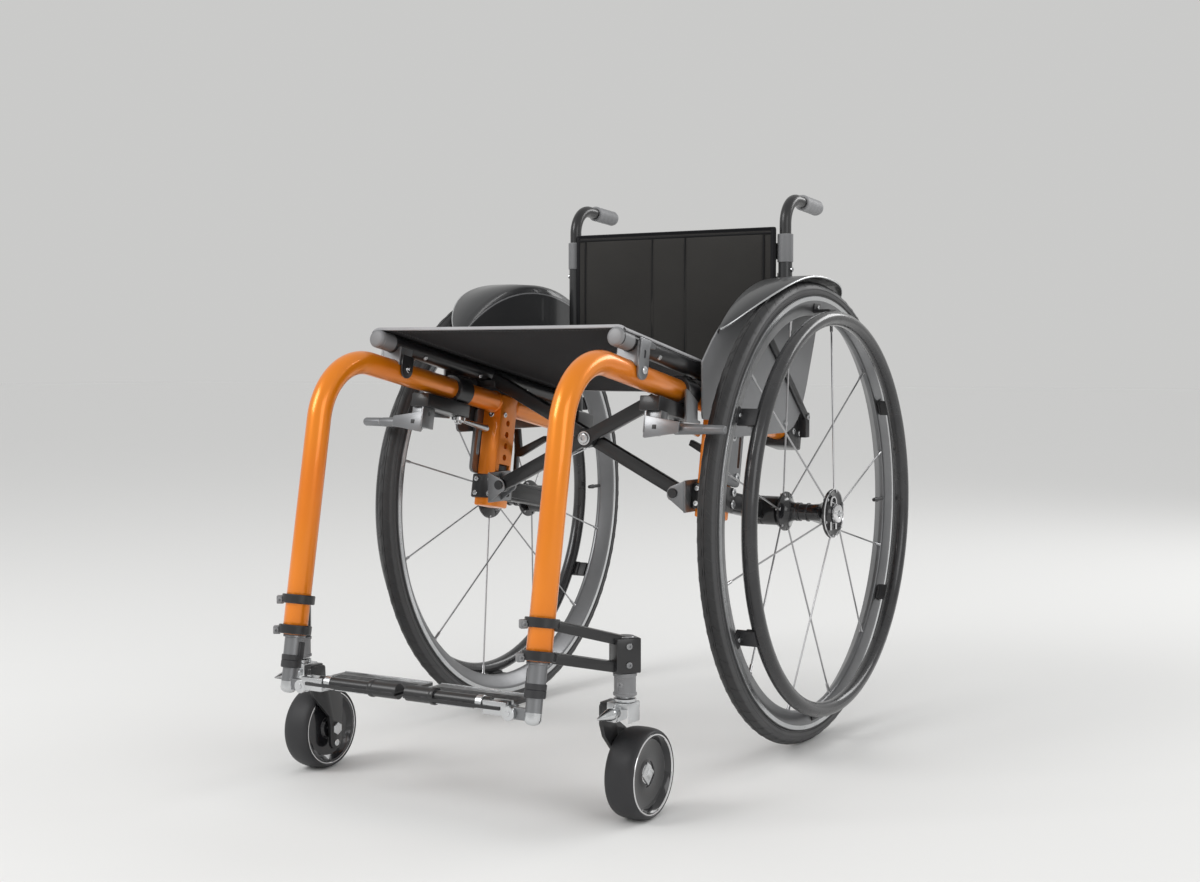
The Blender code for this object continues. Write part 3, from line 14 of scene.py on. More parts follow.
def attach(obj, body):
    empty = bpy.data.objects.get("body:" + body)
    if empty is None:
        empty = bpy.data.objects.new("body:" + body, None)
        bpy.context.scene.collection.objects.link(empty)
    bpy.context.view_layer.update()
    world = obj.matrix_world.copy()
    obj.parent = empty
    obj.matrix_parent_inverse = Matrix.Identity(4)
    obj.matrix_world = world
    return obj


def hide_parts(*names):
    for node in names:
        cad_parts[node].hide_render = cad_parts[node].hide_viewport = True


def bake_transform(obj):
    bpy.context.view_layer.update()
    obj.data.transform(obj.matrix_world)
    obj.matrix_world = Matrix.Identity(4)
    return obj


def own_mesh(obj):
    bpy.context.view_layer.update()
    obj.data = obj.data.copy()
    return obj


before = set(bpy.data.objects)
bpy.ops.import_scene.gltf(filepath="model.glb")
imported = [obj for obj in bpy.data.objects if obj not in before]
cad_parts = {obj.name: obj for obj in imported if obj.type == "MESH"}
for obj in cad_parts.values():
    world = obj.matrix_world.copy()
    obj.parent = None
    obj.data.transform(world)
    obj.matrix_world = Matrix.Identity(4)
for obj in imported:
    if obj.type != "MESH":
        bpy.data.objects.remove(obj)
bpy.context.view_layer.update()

# %% [markdown]
# ## Camera
# The camera stands in front of the chair, a little to its left, at about seat height.
# Its place and lens were worked out from the wheels and tubes in the photograph.

# %% Place the camera
EYE = (1.0812, -1.8252, 0.4947)
TURN = 30.7145
TILT_DOWN = 2.7557
bpy.ops.object.camera_add(location=EYE, rotation=(radians(90 - TILT_DOWN), 0, radians(TURN)))
camera = bpy.context.object
camera.data.sensor_width = 36.0
camera.data.lens = 48.925
bpy.context.scene.camera = camera
print("camera lens", camera.data.lens, "mm")

# %% [markdown]
# ## Nodes
# The sky and the materials are wired with a few helpers. One adds a node and fills its inputs;
# the others are the sums, ranges, mixes and noises that come back in every material.

# %% Helpers for nodes


def plug(tree, node, inputs):
    """Give each input of a node its value, or a link from the socket given."""
    for key, value in inputs.items():
        port = node.inputs[key]
        if isinstance(value, bpy.types.NodeSocket):
            tree.links.new(value, port)
        else:
            port.default_value = (*value, 1.0) if port.type == "RGBA" else value
    return node


def add_node(tree, kind, inputs=None, **settings):
    node = tree.nodes.new("ShaderNode" + kind)
    for key, value in settings.items():
        setattr(node, key, value)
    return plug(tree, node, inputs or {})


def maths(tree, operation, a, b=0.0, clamp=False):
    return add_node(tree, "Math", {0: a, 1: b}, operation=operation, use_clamp=clamp).outputs[0]


def stretch(tree, value, low, high, to_low=0.0, to_high=1.0):
    ends = {"From Min": low, "From Max": high, "To Min": to_low, "To Max": to_high}
    return add_node(tree, "MapRange", {"Value": value, **ends}).outputs["Result"]


def mix_colour(tree, factor, a, b):
    return add_node(tree, "Mix", {0: factor, 6: a, 7: b}, data_type="RGBA").outputs[2]


def own_place(tree):
    return add_node(tree, "TexCoord").outputs["Object"]


def noise(tree, scale, detail):
    inputs = {"Vector": own_place(tree), "Scale": scale, "Detail": detail}
    return add_node(tree, "TexNoise", inputs).outputs["Fac"]


def new_material(name, colour):
    """A material with its node tree and its shader; the flat colour is for the viewport."""
    made = bpy.data.materials.new(name)
    made.use_nodes = True
    made.diffuse_color = (*colour, 1.0)
    return made, made.node_tree, made.node_tree.nodes["Principled BSDF"]


# %% [markdown]
# ## Floor and light
# A large pale floor runs out to a pale sky of the same brightness, so no horizon shows.
# Three large soft lamps model the round tubes: a key from the front left of the picture,
# a weaker fill from the right, and a strip behind that draws bright edges on the wheels.

# %% Build the floor and the sky
bpy.context.scene.view_settings.view_transform = "Standard"
SKY_LIGHT = 0.74
PALE = (0.80, 0.80, 0.79)

bpy.ops.mesh.primitive_plane_add(size=60.0, location=(0, 0, 0))
floor = bpy.context.object
floor.name = "studio_floor"
floor_paint, tree, shader = new_material("pale_floor", PALE)
plug(tree, shader, {"Base Color": PALE, "Roughness": 0.75, "Specular IOR Level": 0.1})
floor.data.materials.append(floor_paint)

world = bpy.data.worlds.new("pale_sky")
bpy.context.scene.world = world
world.use_nodes = True
sky = world.node_tree
lit = plug(sky, sky.nodes["Background"], {"Color": (1, 1, 1), "Strength": SKY_LIGHT})
seen = add_node(sky, "Background", {"Color": PALE, "Strength": SKY_LIGHT})
rays = add_node(sky, "LightPath").outputs
is_seen = maths(sky, "MAXIMUM", rays["Is Camera Ray"], rays["Is Glossy Ray"])
is_seen = maths(sky, "MAXIMUM", is_seen, rays["Is Transmission Ray"])
chosen = add_node(sky, "MixShader", {0: is_seen, 1: lit.outputs[0], 2: seen.outputs[0]})
plug(sky, sky.nodes["World Output"], {"Surface": chosen.outputs[0]})

# %% Place the lamps


def soft_lamp(name, place, aim_height, width, height, power):
    """A flat lamp at a place, facing a point on the chair's middle line."""
    facing = (Vector((0, 0, aim_height)) - Vector(place)).to_track_quat("-Z", "Y").to_euler()
    bpy.ops.object.light_add(type="AREA", location=place, rotation=facing)
    lamp = bpy.context.object
    lamp.name = name
    lamp.data.shape = "RECTANGLE"
    lamp.data.size = width
    lamp.data.size_y = height
    lamp.data.energy = power


soft_lamp("key_lamp", (-1.6, -2.6, 2.4), 0.35, 1.6, 1.6, 50)
soft_lamp("fill_lamp", (2.9, -1.6, 1.5), 0.35, 1.8, 1.8, 18)
soft_lamp("edge_lamp", (1.6, 2.6, 1.9), 0.40, 2.2, 0.8, 26)

# %% [markdown]
# ## Shop tools
# Every new piece is made as by hand: a primitive, worked in edit mode, then modifiers.
# These helpers are the steps that come back on many pieces. Each one deselects all first,
# because an operator acts on whatever is selected.

# %% Selecting, settling and modifiers
SIDE = Vector((1, 0, 0))
BACK = Vector((0, 1, 0))
UP = Vector((0, 0, 1))


def nothing_selected():
    if bpy.context.object and bpy.context.object.mode == "EDIT":
        bpy.ops.object.mode_set(mode="OBJECT")
    bpy.ops.object.select_all(action="DESELECT")


def pick(*pieces):
    nothing_selected()
    for piece in pieces:
        piece.select_set(True)
    bpy.context.view_layer.objects.active = pieces[0]


def settle(piece):
    """Leave the origin at the world's origin, with the piece's place in its mesh."""
    pick(piece)
    bpy.ops.object.transform_apply(location=True, rotation=True, scale=True)
    return piece


def smooth(piece, angle=35):
    pick(piece)
    bpy.ops.object.shade_smooth_by_angle(angle=radians(angle))
    return piece


def modify(piece, kind, **settings):
    """Add a modifier with its settings, and apply it at once."""
    made = piece.modifiers.new("step", kind)
    for key, value in settings.items():
        setattr(made, key, value)
    pick(piece)
    bpy.ops.object.modifier_apply(modifier=made.name)


def soften(piece, width):
    """Round the sharp edges, as a maker deburrs them."""
    modify(piece, "BEVEL", width=width, segments=2, limit_method="ANGLE", angle_limit=radians(30))
    return smooth(piece)


# %% [markdown]
# Pieces are joined by adding their meshes, drilled with Boolean cuts, and repeated as copies.
# A copy has its own mesh, so that each side can be changed.

# %% Joining, cutting and copying


def together(*pieces):
    """Join pieces, and lists of pieces, into the first one."""
    flat = [p for group in pieces for p in (group if isinstance(group, list) else [group])]
    pick(*flat)
    if len(flat) > 1:
        bpy.ops.object.join()
    return flat[0]


def cut_away(piece, *tools):
    for tool in tools:
        modify(piece, "BOOLEAN", operation="DIFFERENCE", solver="EXACT", object=tool)
        bpy.data.objects.remove(tool, do_unlink=True)
    return smooth(piece)


def copy_of(piece, change):
    """A copy with its own mesh, moved by a matrix; a mirrored copy is turned right side out."""
    other = piece.copy()
    other.data = piece.data.copy()
    other.data.transform(change)
    if change.determinant() < 0:
        other.data.flip_normals()
    bpy.context.scene.collection.objects.link(other)
    return other


# %% [markdown]
# A turned piece starts as a circle primitive whose points are moved to the corners of its
# section, and is then spun about its axis, as on a lathe. A plate is a filled outline that is
# extruded. Both are cleaned up in edit mode before they leave it.

# %% Turning and plating


def outline(corners, filled):
    nothing_selected()
    fill = "NGON" if filled else "NOTHING"
    bpy.ops.mesh.primitive_circle_add(vertices=len(corners), radius=1, fill_type=fill)
    drawn = bpy.context.object
    for point, corner in zip(drawn.data.vertices, corners):
        point.co = corner
    return drawn


def open_mesh():
    bpy.ops.object.mode_set(mode="EDIT")
    bpy.ops.mesh.select_all(action="SELECT")


def clean_up():
    """Merge doubled points, drop loose ends and face everything outwards."""
    bpy.ops.mesh.select_all(action="SELECT")
    bpy.ops.mesh.remove_doubles(threshold=0.000002)
    bpy.ops.mesh.delete_loose(use_verts=True, use_edges=True, use_faces=False)
    bpy.ops.mesh.select_all(action="SELECT")
    bpy.ops.mesh.normals_make_consistent(inside=False)
    bpy.ops.object.mode_set(mode="OBJECT")


def turned(section, centre, axis=SIDE, steps=48):
    """Spin a closed section of (distance along the axis, radius) about the axis."""
    run = Vector(axis).normalized()
    out = UP if abs(run.z) < 0.9 else SIDE
    out = (out - run * out.dot(run)).normalized()
    piece = outline([centre + run * a + out * r for a, r in section], False)
    open_mesh()
    bpy.ops.mesh.spin(steps=steps, angle=2 * pi, center=centre, axis=run)
    clean_up()
    return smooth(settle(piece))


def ring_section(start, end, inner, outer, slope=0.0, drop=0.0):
    """The section of a ring, or of a disc if inner is 0, with its outer corners cut if wanted."""
    if not drop:
        return [(start, inner), (start, outer), (end, outer), (end, inner)]
    return [
        (start, inner), (start, outer - drop), (start + slope, outer),
        (end - slope, outer), (end, outer - drop), (end, inner),
    ]


def plate(corners, depth, soft=0.0004):
    """Extrude a flat outline by a depth vector."""
    piece = outline(corners, True)
    open_mesh()
    bpy.ops.mesh.extrude_region_move(TRANSFORM_OT_translate={"value": depth})
    clean_up()
    settle(piece)
    return soften(piece, soft) if soft else smooth(piece)


# %% [markdown]
# A bent tube is a curve with a round section, converted to a mesh. A bar is a cube, turned and
# scaled. A pin is turned from its own section, and a bolt is a pin with a hexagon socket.

# %% Tubes, bars, pins and bolts


def bent_tube(path, radius, sides=24):
    """A round bar along a path; radius is one number, or one for each point."""
    nothing_selected()
    bpy.ops.curve.primitive_bezier_curve_add(location=(0, 0, 0))
    line = bpy.context.object.data
    line.dimensions = "3D"
    line.bevel_depth = 1.0
    line.bevel_resolution = max(sides // 4 - 1, 1)
    line.use_fill_caps = True
    line.splines.clear()
    spline = line.splines.new("POLY")
    spline.points.add(len(path) - 1)
    radii = radius if isinstance(radius, list) else [radius] * len(path)
    for point, place, r in zip(spline.points, path, radii):
        point.co = (*place, 1)
        point.radius = r
    bpy.ops.object.convert(target="MESH")
    piece = bpy.context.object
    bpy.ops.object.mode_set(mode="EDIT")
    clean_up()
    return smooth(settle(piece))


def bar(centre, size, basis=None, soft=0.0006):
    """A rectangular bar; basis gives the directions of its first two edges, the third follows."""
    nothing_selected()
    facing = (0, 0, 0)
    if basis:
        along, across = Vector(basis[0]), Vector(basis[1])
        facing = Matrix((along, across, along.cross(across))).transposed().to_euler()
    bpy.ops.mesh.primitive_cube_add(size=1, location=centre, rotation=facing, scale=size)
    piece = settle(bpy.context.object)
    return soften(piece, soft) if soft else smooth(piece)


def pin(start, end, radius, sides=32, soft=0.0004, tip=None):
    """A round pin between two points; tip is the radius of its far end."""
    reach = (end - start).length
    last = radius if tip is None else tip
    s = min(soft, reach / 3, radius / 3, last / 3)
    section = [(0, 0), (0, radius - s), (s, radius), (reach - s, last), (reach, last - s), (reach, 0)]
    if not s:
        section = [(0, 0), (0, radius), (reach, last), (reach, 0)]
    return turned(section, start, end - start, sides)


def ball(centre, radius, sides):
    nothing_selected()
    bpy.ops.mesh.primitive_uv_sphere_add(
        segments=sides, ring_count=sides // 2, radius=radius, location=centre
    )
    return smooth(settle(bpy.context.object))


def bolt(base, direction, radius, height):
    """A bolt head with a hexagon socket: a disc whose top is inset and pushed in."""
    run = Vector(direction).normalized()
    head = pin(base, base + run * height, radius, 24, radius * 0.12)
    out = run.orthogonal().normalized()
    across = run.cross(out)
    socket = radius * 0.52
    hexagon = [
        base + run * (height * 0.35) + (out * cos(pi * k / 3) + across * sin(pi * k / 3)) * socket
        for k in range(6)
    ]
    return cut_away(head, plate(hexagon, run * height, 0))


# %% [markdown]
# A finished piece gets its material and the CAD body that it rides on. It can stand for a CAD
# node, which is then hidden. Most of the chair comes in pairs, so a left piece is finished
# first and its mirror image goes on the right.

# %% Fitting pieces to the frame
MIRROR = Matrix.Scale(-1, 4, SIDE)


def fit(pieces, name, body, finish, stands_for=None):
    """Join and name the pieces; body is a CAD body, or a function that is given the joined piece."""
    piece = together(pieces)
    piece.name = piece.data.name = name
    piece.data.materials.clear()
    piece.data.materials.append(finish)
    if callable(body):
        body(piece)
    else:
        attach(piece, body)
    if stands_for:
        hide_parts(stands_for)
    return piece


def fit_pair(pieces, name, body, finish, stands_for=None, bodies=None):
    """Fit the left piece, and its mirror image on the right."""
    piece = together(pieces)
    other = copy_of(piece, MIRROR)
    left, right = bodies or (body + "_left", body + "_right")
    for made, side, its_body in ((piece, "_left", left), (other, "_right", right)):
        fit(made, name + side, its_body, finish, stands_for and stands_for + side)


# %% [markdown]
# ## Finishes
# Real surfaces vary: paint has a faint orange peel, machined metal has fine lines, rubber is
# dusty, and edges are rubbed bright. A grain, a rubbed edge and a weave are each one node
# group, made once and placed in every material that needs it, with its own values.

# %% Node groups for grain, wear and weave


def new_group(name, inputs, outputs):
    """A node group of plain numbers, with what it is given and the node for its results."""
    group = bpy.data.node_groups.new(name, "ShaderNodeTree")
    sockets = group.interface
    for label, value in inputs.items():
        made = sockets.new_socket(label, in_out="INPUT", socket_type="NodeSocketFloat")
        made.default_value = value
    for label in outputs:
        sockets.new_socket(label, in_out="OUTPUT", socket_type="NodeSocketFloat")
    return group, group.nodes.new("NodeGroupInput").outputs, group.nodes.new("NodeGroupOutput")


# grain: a fine even noise for peel, rubber skin and cast metal, and a broad one for blotches
GRAIN, given, result = new_group("surface_grain", {"Fine": 900.0, "Broad": 14.0}, ["Height", "Blotch"])
blotches = stretch(GRAIN, noise(GRAIN, given["Broad"], 4.0), 0.3, 0.7)
plug(GRAIN, result, {"Height": noise(GRAIN, given["Fine"], 3.0), "Blotch": blotches})

# wear: where a rounded normal leaves the true one there is an edge, broken up by noise
WEAR, given, result = new_group("edge_wear", {"Reach": 0.0008, "Break Up": 120.0}, ["Mask"])
rounded = add_node(WEAR, "Bevel", {"Radius": given["Reach"]}, samples=4).outputs["Normal"]
true_normal = add_node(WEAR, "NewGeometry").outputs["Normal"]
agree = add_node(WEAR, "VectorMath", {0: rounded, 1: true_normal}, operation="DOT_PRODUCT")
edge = stretch(WEAR, agree.outputs["Value"], 0.995, 0.93)
patches = stretch(WEAR, noise(WEAR, given["Break Up"], 5.0), 0.42, 0.62)
plug(WEAR, result, {"Mask": maths(WEAR, "MULTIPLY", edge, patches, True)})

# weave: over and under threads, as the height of a plain weave in two directions
WEAVE, given, result = new_group(
    "plain_weave", {"Across": 0.0, "Along": 0.0, "Threads": 700.0}, ["Height", "Gap"]
)
counts = [maths(WEAVE, "MULTIPLY", given[way], given["Threads"]) for way in ("Across", "Along")]
warp, weft = (
    maths(WEAVE, "ABSOLUTE", maths(WEAVE, "SINE", maths(WEAVE, "MULTIPLY", count, pi))) for count in counts
)
square = maths(WEAVE, "ADD", *[maths(WEAVE, "FLOOR", count) for count in counts])
on_top = maths(WEAVE, "ABSOLUTE", maths(WEAVE, "MODULO", square, 2.0))
thread = add_node(WEAVE, "Mix", {0: on_top, 2: warp, 3: weft}, data_type="FLOAT").outputs[0]
gap = stretch(WEAVE, maths(WEAVE, "MINIMUM", warp, weft), 0.0, 0.35, 1.0, 0.0)
plug(WEAVE, result, {"Height": thread, "Gap": gap})
print("node groups:", [g.name for g in bpy.data.node_groups])

# %% [markdown]
# One recipe serves paint, plastic, rubber and metal: a base colour that blotches slightly
# darker or lighter, a roughness that follows the grain, rubbed edges in a second colour, and
# a fine bump. The values that stay the same all over are set on the shader itself.

# %% The common recipe
RELIEF = 0.0004


def finish(
    name, slot, colour, roughness, metallic=0.0, other=None, worn=None, wear=0.0,
    fine=900.0, broad=14.0, bump=0.05, swing=0.08, coat=0.0, specular=0.5, band=None,
):
    """A material: colour to other in blotches, worn at the edges, with grain in gloss and bump.

    A band is a second colour at both sides of a wheel: the wheel's middle in x, how far from it
    the change starts and ends, and the colour. The slot is not used.
    """
    made, tree, shader = new_material(name, colour)
    grain = add_node(tree, "Group", {}, node_tree=GRAIN)
    plug(tree, grain, {"Fine": fine, "Broad": broad})
    blotch = grain.outputs["Blotch"]
    shade = mix_colour(tree, blotch, colour, other or tuple(c * 0.82 for c in colour))
    if band:
        middle, start, end, flank = band
        across = add_node(tree, "SeparateXYZ", {0: own_place(tree)}).outputs["X"]
        off_middle = maths(tree, "SUBTRACT", maths(tree, "ABSOLUTE", across), middle)
        shade = mix_colour(tree, stretch(tree, maths(tree, "ABSOLUTE", off_middle), start, end), shade, flank)
    if wear:
        rubbed = add_node(tree, "Group", node_tree=WEAR).outputs["Mask"]
        shade = mix_colour(tree, maths(tree, "MULTIPLY", rubbed, wear, True), shade, worn)
    relief = {"Strength": bump, "Distance": RELIEF, "Height": grain.outputs["Height"]}
    plug(tree, shader, {
        "Base Color": shade, "Metallic": metallic, "Specular IOR Level": specular,
        "Roughness": stretch(tree, blotch, 0.0, 1.0, roughness - swing / 2, roughness + swing / 2),
        "Normal": add_node(tree, "Bump", relief).outputs["Normal"],
        "Coat Weight": coat, "Coat Roughness": 0.05,
    })
    return made


# %% Paints, metals, plastics and rubbers
WHEEL_X = 0.232
PAINTED = "black_satin_paint"
BARE = "bare_aluminium"
BRACKET = "graphite_bracket"

ORANGE = finish(
    "candy_orange_paint", "orange_gloss_paint", (0.86, 0.250, 0.006), 0.30, 0.35, (0.81, 0.205, 0.004),
    (0.95, 0.40, 0.06), 0.25, fine=650.0, broad=9.0, bump=0.035, swing=0.05, coat=0.35,
)
BLACK_PAINT = finish(
    "satin_black_paint", PAINTED, (0.012, 0.012, 0.013), 0.34, 0.0, (0.018, 0.018, 0.019),
    (0.16, 0.16, 0.17), 0.50, fine=800.0, bump=0.06, coat=0.15,
)
BLACK_PLASTIC = finish(
    "moulded_black", PAINTED, (0.022, 0.022, 0.024), 0.48, 0.0, (0.030, 0.030, 0.032),
    (0.10, 0.10, 0.105), 0.5, fine=1500.0, bump=0.12,
)
SATIN_GREY = finish(
    "satin_grey_bracket", BRACKET, (0.27, 0.274, 0.282), 0.38, 0.85, (0.21, 0.214, 0.222),
    (0.62, 0.62, 0.63), 0.7, fine=1100.0, swing=0.12,
)
BRIGHT_METAL = finish(
    "bare_aluminium_metal", BARE, (0.68, 0.69, 0.70), 0.27, 1.0, (0.56, 0.57, 0.58),
    (0.86, 0.86, 0.87), 0.5, fine=1300.0, bump=0.04, swing=0.12,
)
POLISHED = finish(
    "polished_steel", BARE, (0.80, 0.80, 0.81), 0.12, 1.0, (0.70, 0.70, 0.71), bump=0.01, swing=0.05
)
SPOKE_STEEL = finish(
    "drawn_spoke_steel", BARE, (0.50, 0.50, 0.51), 0.30, 1.0, (0.38, 0.38, 0.39), bump=0.02, fine=2000.0
)
# the lighter band on both sidewalls is partly the tyre's grey sidewall and partly a painted sheen where the
# sidewall catches the light
TYRE_RUBBER = finish(
    "tyre_rubber", "black_rubber", (0.018, 0.018, 0.019), 0.50, 0.0, (0.026, 0.026, 0.027),
    (0.060, 0.059, 0.058), 0.50, fine=1400.0, broad=20.0, bump=0.16, swing=0.14, specular=0.45,
    band=(WHEEL_X, 0.0084, 0.0098, (0.060, 0.060, 0.062)),
)
CASTER_RUBBER = finish(
    "caster_tyre_polyurethane", "caster_polyurethane", (0.022, 0.022, 0.024), 0.50, 0.0,
    (0.031, 0.031, 0.033), fine=1600.0, broad=24.0, bump=0.08, swing=0.16, specular=0.40,
)
RIM_METAL = finish(
    "anodised_rim_metal", "anodised_rim", (0.235, 0.237, 0.243), 0.36, 0.80, (0.185, 0.187, 0.193),
    (0.46, 0.46, 0.47), 0.6, fine=1000.0, bump=0.04, swing=0.10,
)
HANDRIM_METAL = finish(
    "black_handrim", "satin_handrim", (0.030, 0.030, 0.032), 0.27, 0.35, (0.044, 0.044, 0.046),
    (0.30, 0.30, 0.31), 0.35, fine=1200.0, broad=30.0, bump=0.03, swing=0.10, coat=0.35,
)
HUB_BLACK = finish(
    "gloss_black_hub", "black_hub", (0.014, 0.014, 0.016), 0.20, 0.2, (0.022, 0.022, 0.024),
    (0.32, 0.32, 0.33), 0.5, bump=0.03, coat=0.5,
)
GUARD_GREY = finish(
    "grey_guard_plastic", BRACKET, (0.225, 0.227, 0.233), 0.44, 0.1, (0.185, 0.187, 0.193),
    (0.55, 0.55, 0.56), 0.6, broad=7.0, bump=0.07, swing=0.12,
)
# the fenders' own dark smoked colour; the same finish is painted shade on the guards' inner faces
GUARD_DARK = finish(
    "smoked_fender_and_guard_shade", "grey_side_guard", (0.052, 0.053, 0.055), 0.34, 0.2, (0.040, 0.041, 0.043),
    (0.30, 0.30, 0.31), 0.5, broad=7.0, bump=0.06, coat=0.25,
)
CANE_GREY = finish(
    "satin_cane_grey", PAINTED, (0.060, 0.061, 0.063), 0.33, 0.6, (0.046, 0.047, 0.049),
    (0.30, 0.30, 0.31), 0.4, coat=0.2,
)
GRIP_GREY = finish(
    "grey_grip_rubber", "grey_grip", (0.27, 0.272, 0.28), 0.55, 0.0, (0.21, 0.213, 0.22),
    fine=1500.0, bump=0.14,
)
EDGE_TAPE = finish(
    "grey_edge_tape", BRACKET, (0.42, 0.42, 0.43), 0.60, 0.0, (0.33, 0.33, 0.34), fine=2200.0, bump=0.2
)
THREAD_GREY = finish(
    "grey_thread", "grey_grip", (0.10, 0.10, 0.105), 0.75, 0.0, (0.07, 0.07, 0.072), fine=2500.0, bump=0.1
)
# near-black for the seam lines of the back: partly the seams themselves, partly painted shade in their
# creases
SEAM_AND_SHADE = finish("seam_line_and_shade", "black_nylon", (0.006, 0.006, 0.007), 0.90, fine=2500.0, bump=0.1)
DARK_THREAD = finish("dark_thread", "black_nylon", (0.030, 0.029, 0.028), 0.80, fine=2500.0, bump=0.1)


# %% [markdown]
# The seat and the back are woven nylon. The weave is computed from the piece's own place, so
# it needs no unwrapping: across is X, and along is Y on the seat and Z on the back. The gaps
# between threads are darker, and a slow blotch keeps the panel from looking printed.

# %% Woven nylon


def nylon(name, colour, other, along_axis, threads, roughness):
    made, tree, shader = new_material(name, colour)
    place = add_node(tree, "SeparateXYZ", {0: own_place(tree)}).outputs
    cloth = add_node(tree, "Group", node_tree=WEAVE)
    plug(tree, cloth, {"Threads": threads, "Across": place["X"], "Along": place[along_axis]})
    height = cloth.outputs["Height"]
    grain = add_node(tree, "Group", node_tree=GRAIN)
    plug(tree, grain, {"Fine": 1800.0, "Broad": 11.0})
    base = mix_colour(tree, grain.outputs["Blotch"], colour, other)
    relief = {"Strength": 0.35, "Distance": RELIEF, "Height": height}
    plug(tree, shader, {
        "Base Color": mix_colour(tree, cloth.outputs["Gap"], base, tuple(c * 0.35 for c in colour)),
        "Roughness": stretch(tree, height, 0.0, 1.0, roughness + 0.08, roughness - 0.05),
        "Normal": add_node(tree, "Bump", relief).outputs["Normal"],
        "Sheen Weight": 0.04, "Sheen Roughness": 0.6, "Specular IOR Level": 0.12,
    })
    return made


SEAT_NYLON = nylon(
    "black_seat_nylon", (0.014, 0.014, 0.016), (0.020, 0.020, 0.022), "Y", 900.0, 0.86
)
BACK_NYLON = nylon(
    "charcoal_back_nylon", (0.052, 0.050, 0.047), (0.042, 0.040, 0.038), "Z", 800.0, 0.82
)
print("finishes:", len(bpy.data.materials))

# %% [markdown]
# ## Rear wheels
# A wheel is a tyre on a deep rim, twelve steel spokes, a hub that slides over a quick-release
# axle, and a hand rim held off the rim by six tabs. The left wheel is made here piece by piece.

# %% Wheel sizes
AXLE_Y = 0.1330
WHEEL_RADIUS = 0.300
HUB = Vector((WHEEL_X, AXLE_Y, WHEEL_RADIUS))
AXLE = Vector((0, AXLE_Y, WHEEL_RADIUS))
RIM_INNER = 0.2560


def from_hub(x, radius, degrees):
    """A point beside the wheel: x from the middle of the chair, then radius and angle."""
    a = radians(degrees)
    return Vector((x, AXLE_Y + radius * cos(a), WHEEL_RADIUS + radius * sin(a)))


def hoop(section):
    """A section turned about the wheel's axle, its distances taken from the wheel's middle."""
    return turned(section, HUB, steps=144)


def round_section(across, out, radius, points):
    turns = [2 * pi * k / points for k in range(points)]
    return [(across + radius * sin(a), out + radius * cos(a)) for a in turns]


def ring_of(piece, count):
    """The piece and its copies, evenly spaced about the wheel's axle, as one mesh."""
    centre = Matrix.Translation(HUB)
    turns = [Matrix.Rotation(2 * pi * k / count, 4, SIDE) for k in range(1, count)]
    return together(piece, *[copy_of(piece, centre @ turn @ centre.inverted()) for turn in turns])


# %% [markdown]
# The tyre is a narrow round tyre with a smooth crown ridge and a chevron of rubber blocks on
# each shoulder. One block is a cube, subdivided and laid round the tyre's section; it is
# mirrored to make a chevron, and the chevron is copied round the wheel.

# %% Tyre and tread
CARCASS_RADIUS = 0.0120
CARCASS_LINE = 0.2870
CHEVRONS = 80
BLOCK_ROOT = 0.0010
BLOCK_RISE = 0.0004
BLOCK_START = 9
BLOCK_SWEEP = 52
BLOCK_WIDTH = 0.0095
BLOCK_NARROWS = 0.0030
BLOCK_LEAD = 0.0105


def tread_block(side):
    nothing_selected()
    bpy.ops.mesh.primitive_cube_add(size=1)
    made = bpy.context.object
    open_mesh()
    bpy.ops.mesh.subdivide(number_cuts=3)
    bpy.ops.object.mode_set(mode="OBJECT")
    for point in made.data.vertices:
        outwards, round_it, up = (c + 0.5 for c in point.co)
        a = radians(BLOCK_START + BLOCK_SWEEP * outwards)
        r = CARCASS_RADIUS - BLOCK_ROOT + (BLOCK_ROOT + BLOCK_RISE * (1 - 0.35 * outwards)) * up
        width = (BLOCK_WIDTH - BLOCK_NARROWS * outwards) * (1 - 0.12 * up)
        turn = ((round_it - 0.5) * width + outwards * BLOCK_LEAD) / WHEEL_RADIUS
        reach = CARCASS_LINE + r * cos(a)
        point.co = HUB + Vector((side * r * sin(a), reach * cos(turn), reach * sin(turn)))
    pick(made)
    bpy.ops.object.mode_set(mode="EDIT")
    clean_up()
    return smooth(made, 40)


carcass = hoop(round_section(0, CARCASS_LINE, CARCASS_RADIUS, 28))
ridge = hoop([(-0.0012, 0.2980), (-0.0008, 0.2996), (0.0008, 0.2996), (0.0012, 0.2980)])
wall_lines = []
for side in (-1, 1):
    for r in (0.2835, 0.2890):
        corners = ((0.0112, r - 0.0006), (0.0123, r - 0.0003), (0.0123, r + 0.0003), (0.0112, r + 0.0006))
        wall_lines.append(hoop([(side * a, b) for a, b in corners]))
tread = ring_of(together(tread_block(1), tread_block(-1)), CHEVRONS)
fit_pair([carcass, ridge, *wall_lines, tread], "tyre", "wheel", TYRE_RUBBER, "rear_tyre")
print("tyre faces:", len(carcass.data.polygons))

# %% [markdown]
# The rim is a hollow-looking aluminium section: a rounded spoke ridge, two sloping flanks and
# a hooked edge that grips the tyre. The flanks end in a machined band, which catches the light
# as a bright line on the real wheel.

# %% Rim, machined bands and valve
RIM_HOOK = [
    (0.0124, 0.2735), (0.0124, 0.2800), (0.0116, 0.2806), (0.0100, 0.2806),
    (0.0096, 0.2796), (0.0096, 0.2770), (0.0050, 0.2742),
]
rim_section = [
    (0.0010, 0.2566), (0.0022, 0.2558), (0.0058, 0.2558), (0.0070, 0.2566), (0.0085, 0.2590),
    (0.0118, 0.2705), *RIM_HOOK, *[(-x, r) for x, r in reversed(RIM_HOOK)],
    (-0.0112, 0.2705), (-0.0008, 0.2590),
]
fit_pair(hoop(rim_section), "rim", "wheel", RIM_METAL, "wheel_rim")
band_corners = ((0.0120, 0.2742), (0.01255, 0.2745), (0.01255, 0.2795), (0.0120, 0.2799))
bands = [hoop([(side * a, r) for a, r in band_corners]) for side in (-1, 1)]
fit_pair(bands, "rim_machined_band", "wheel", BRIGHT_METAL)


SPOKE_X = 0.236


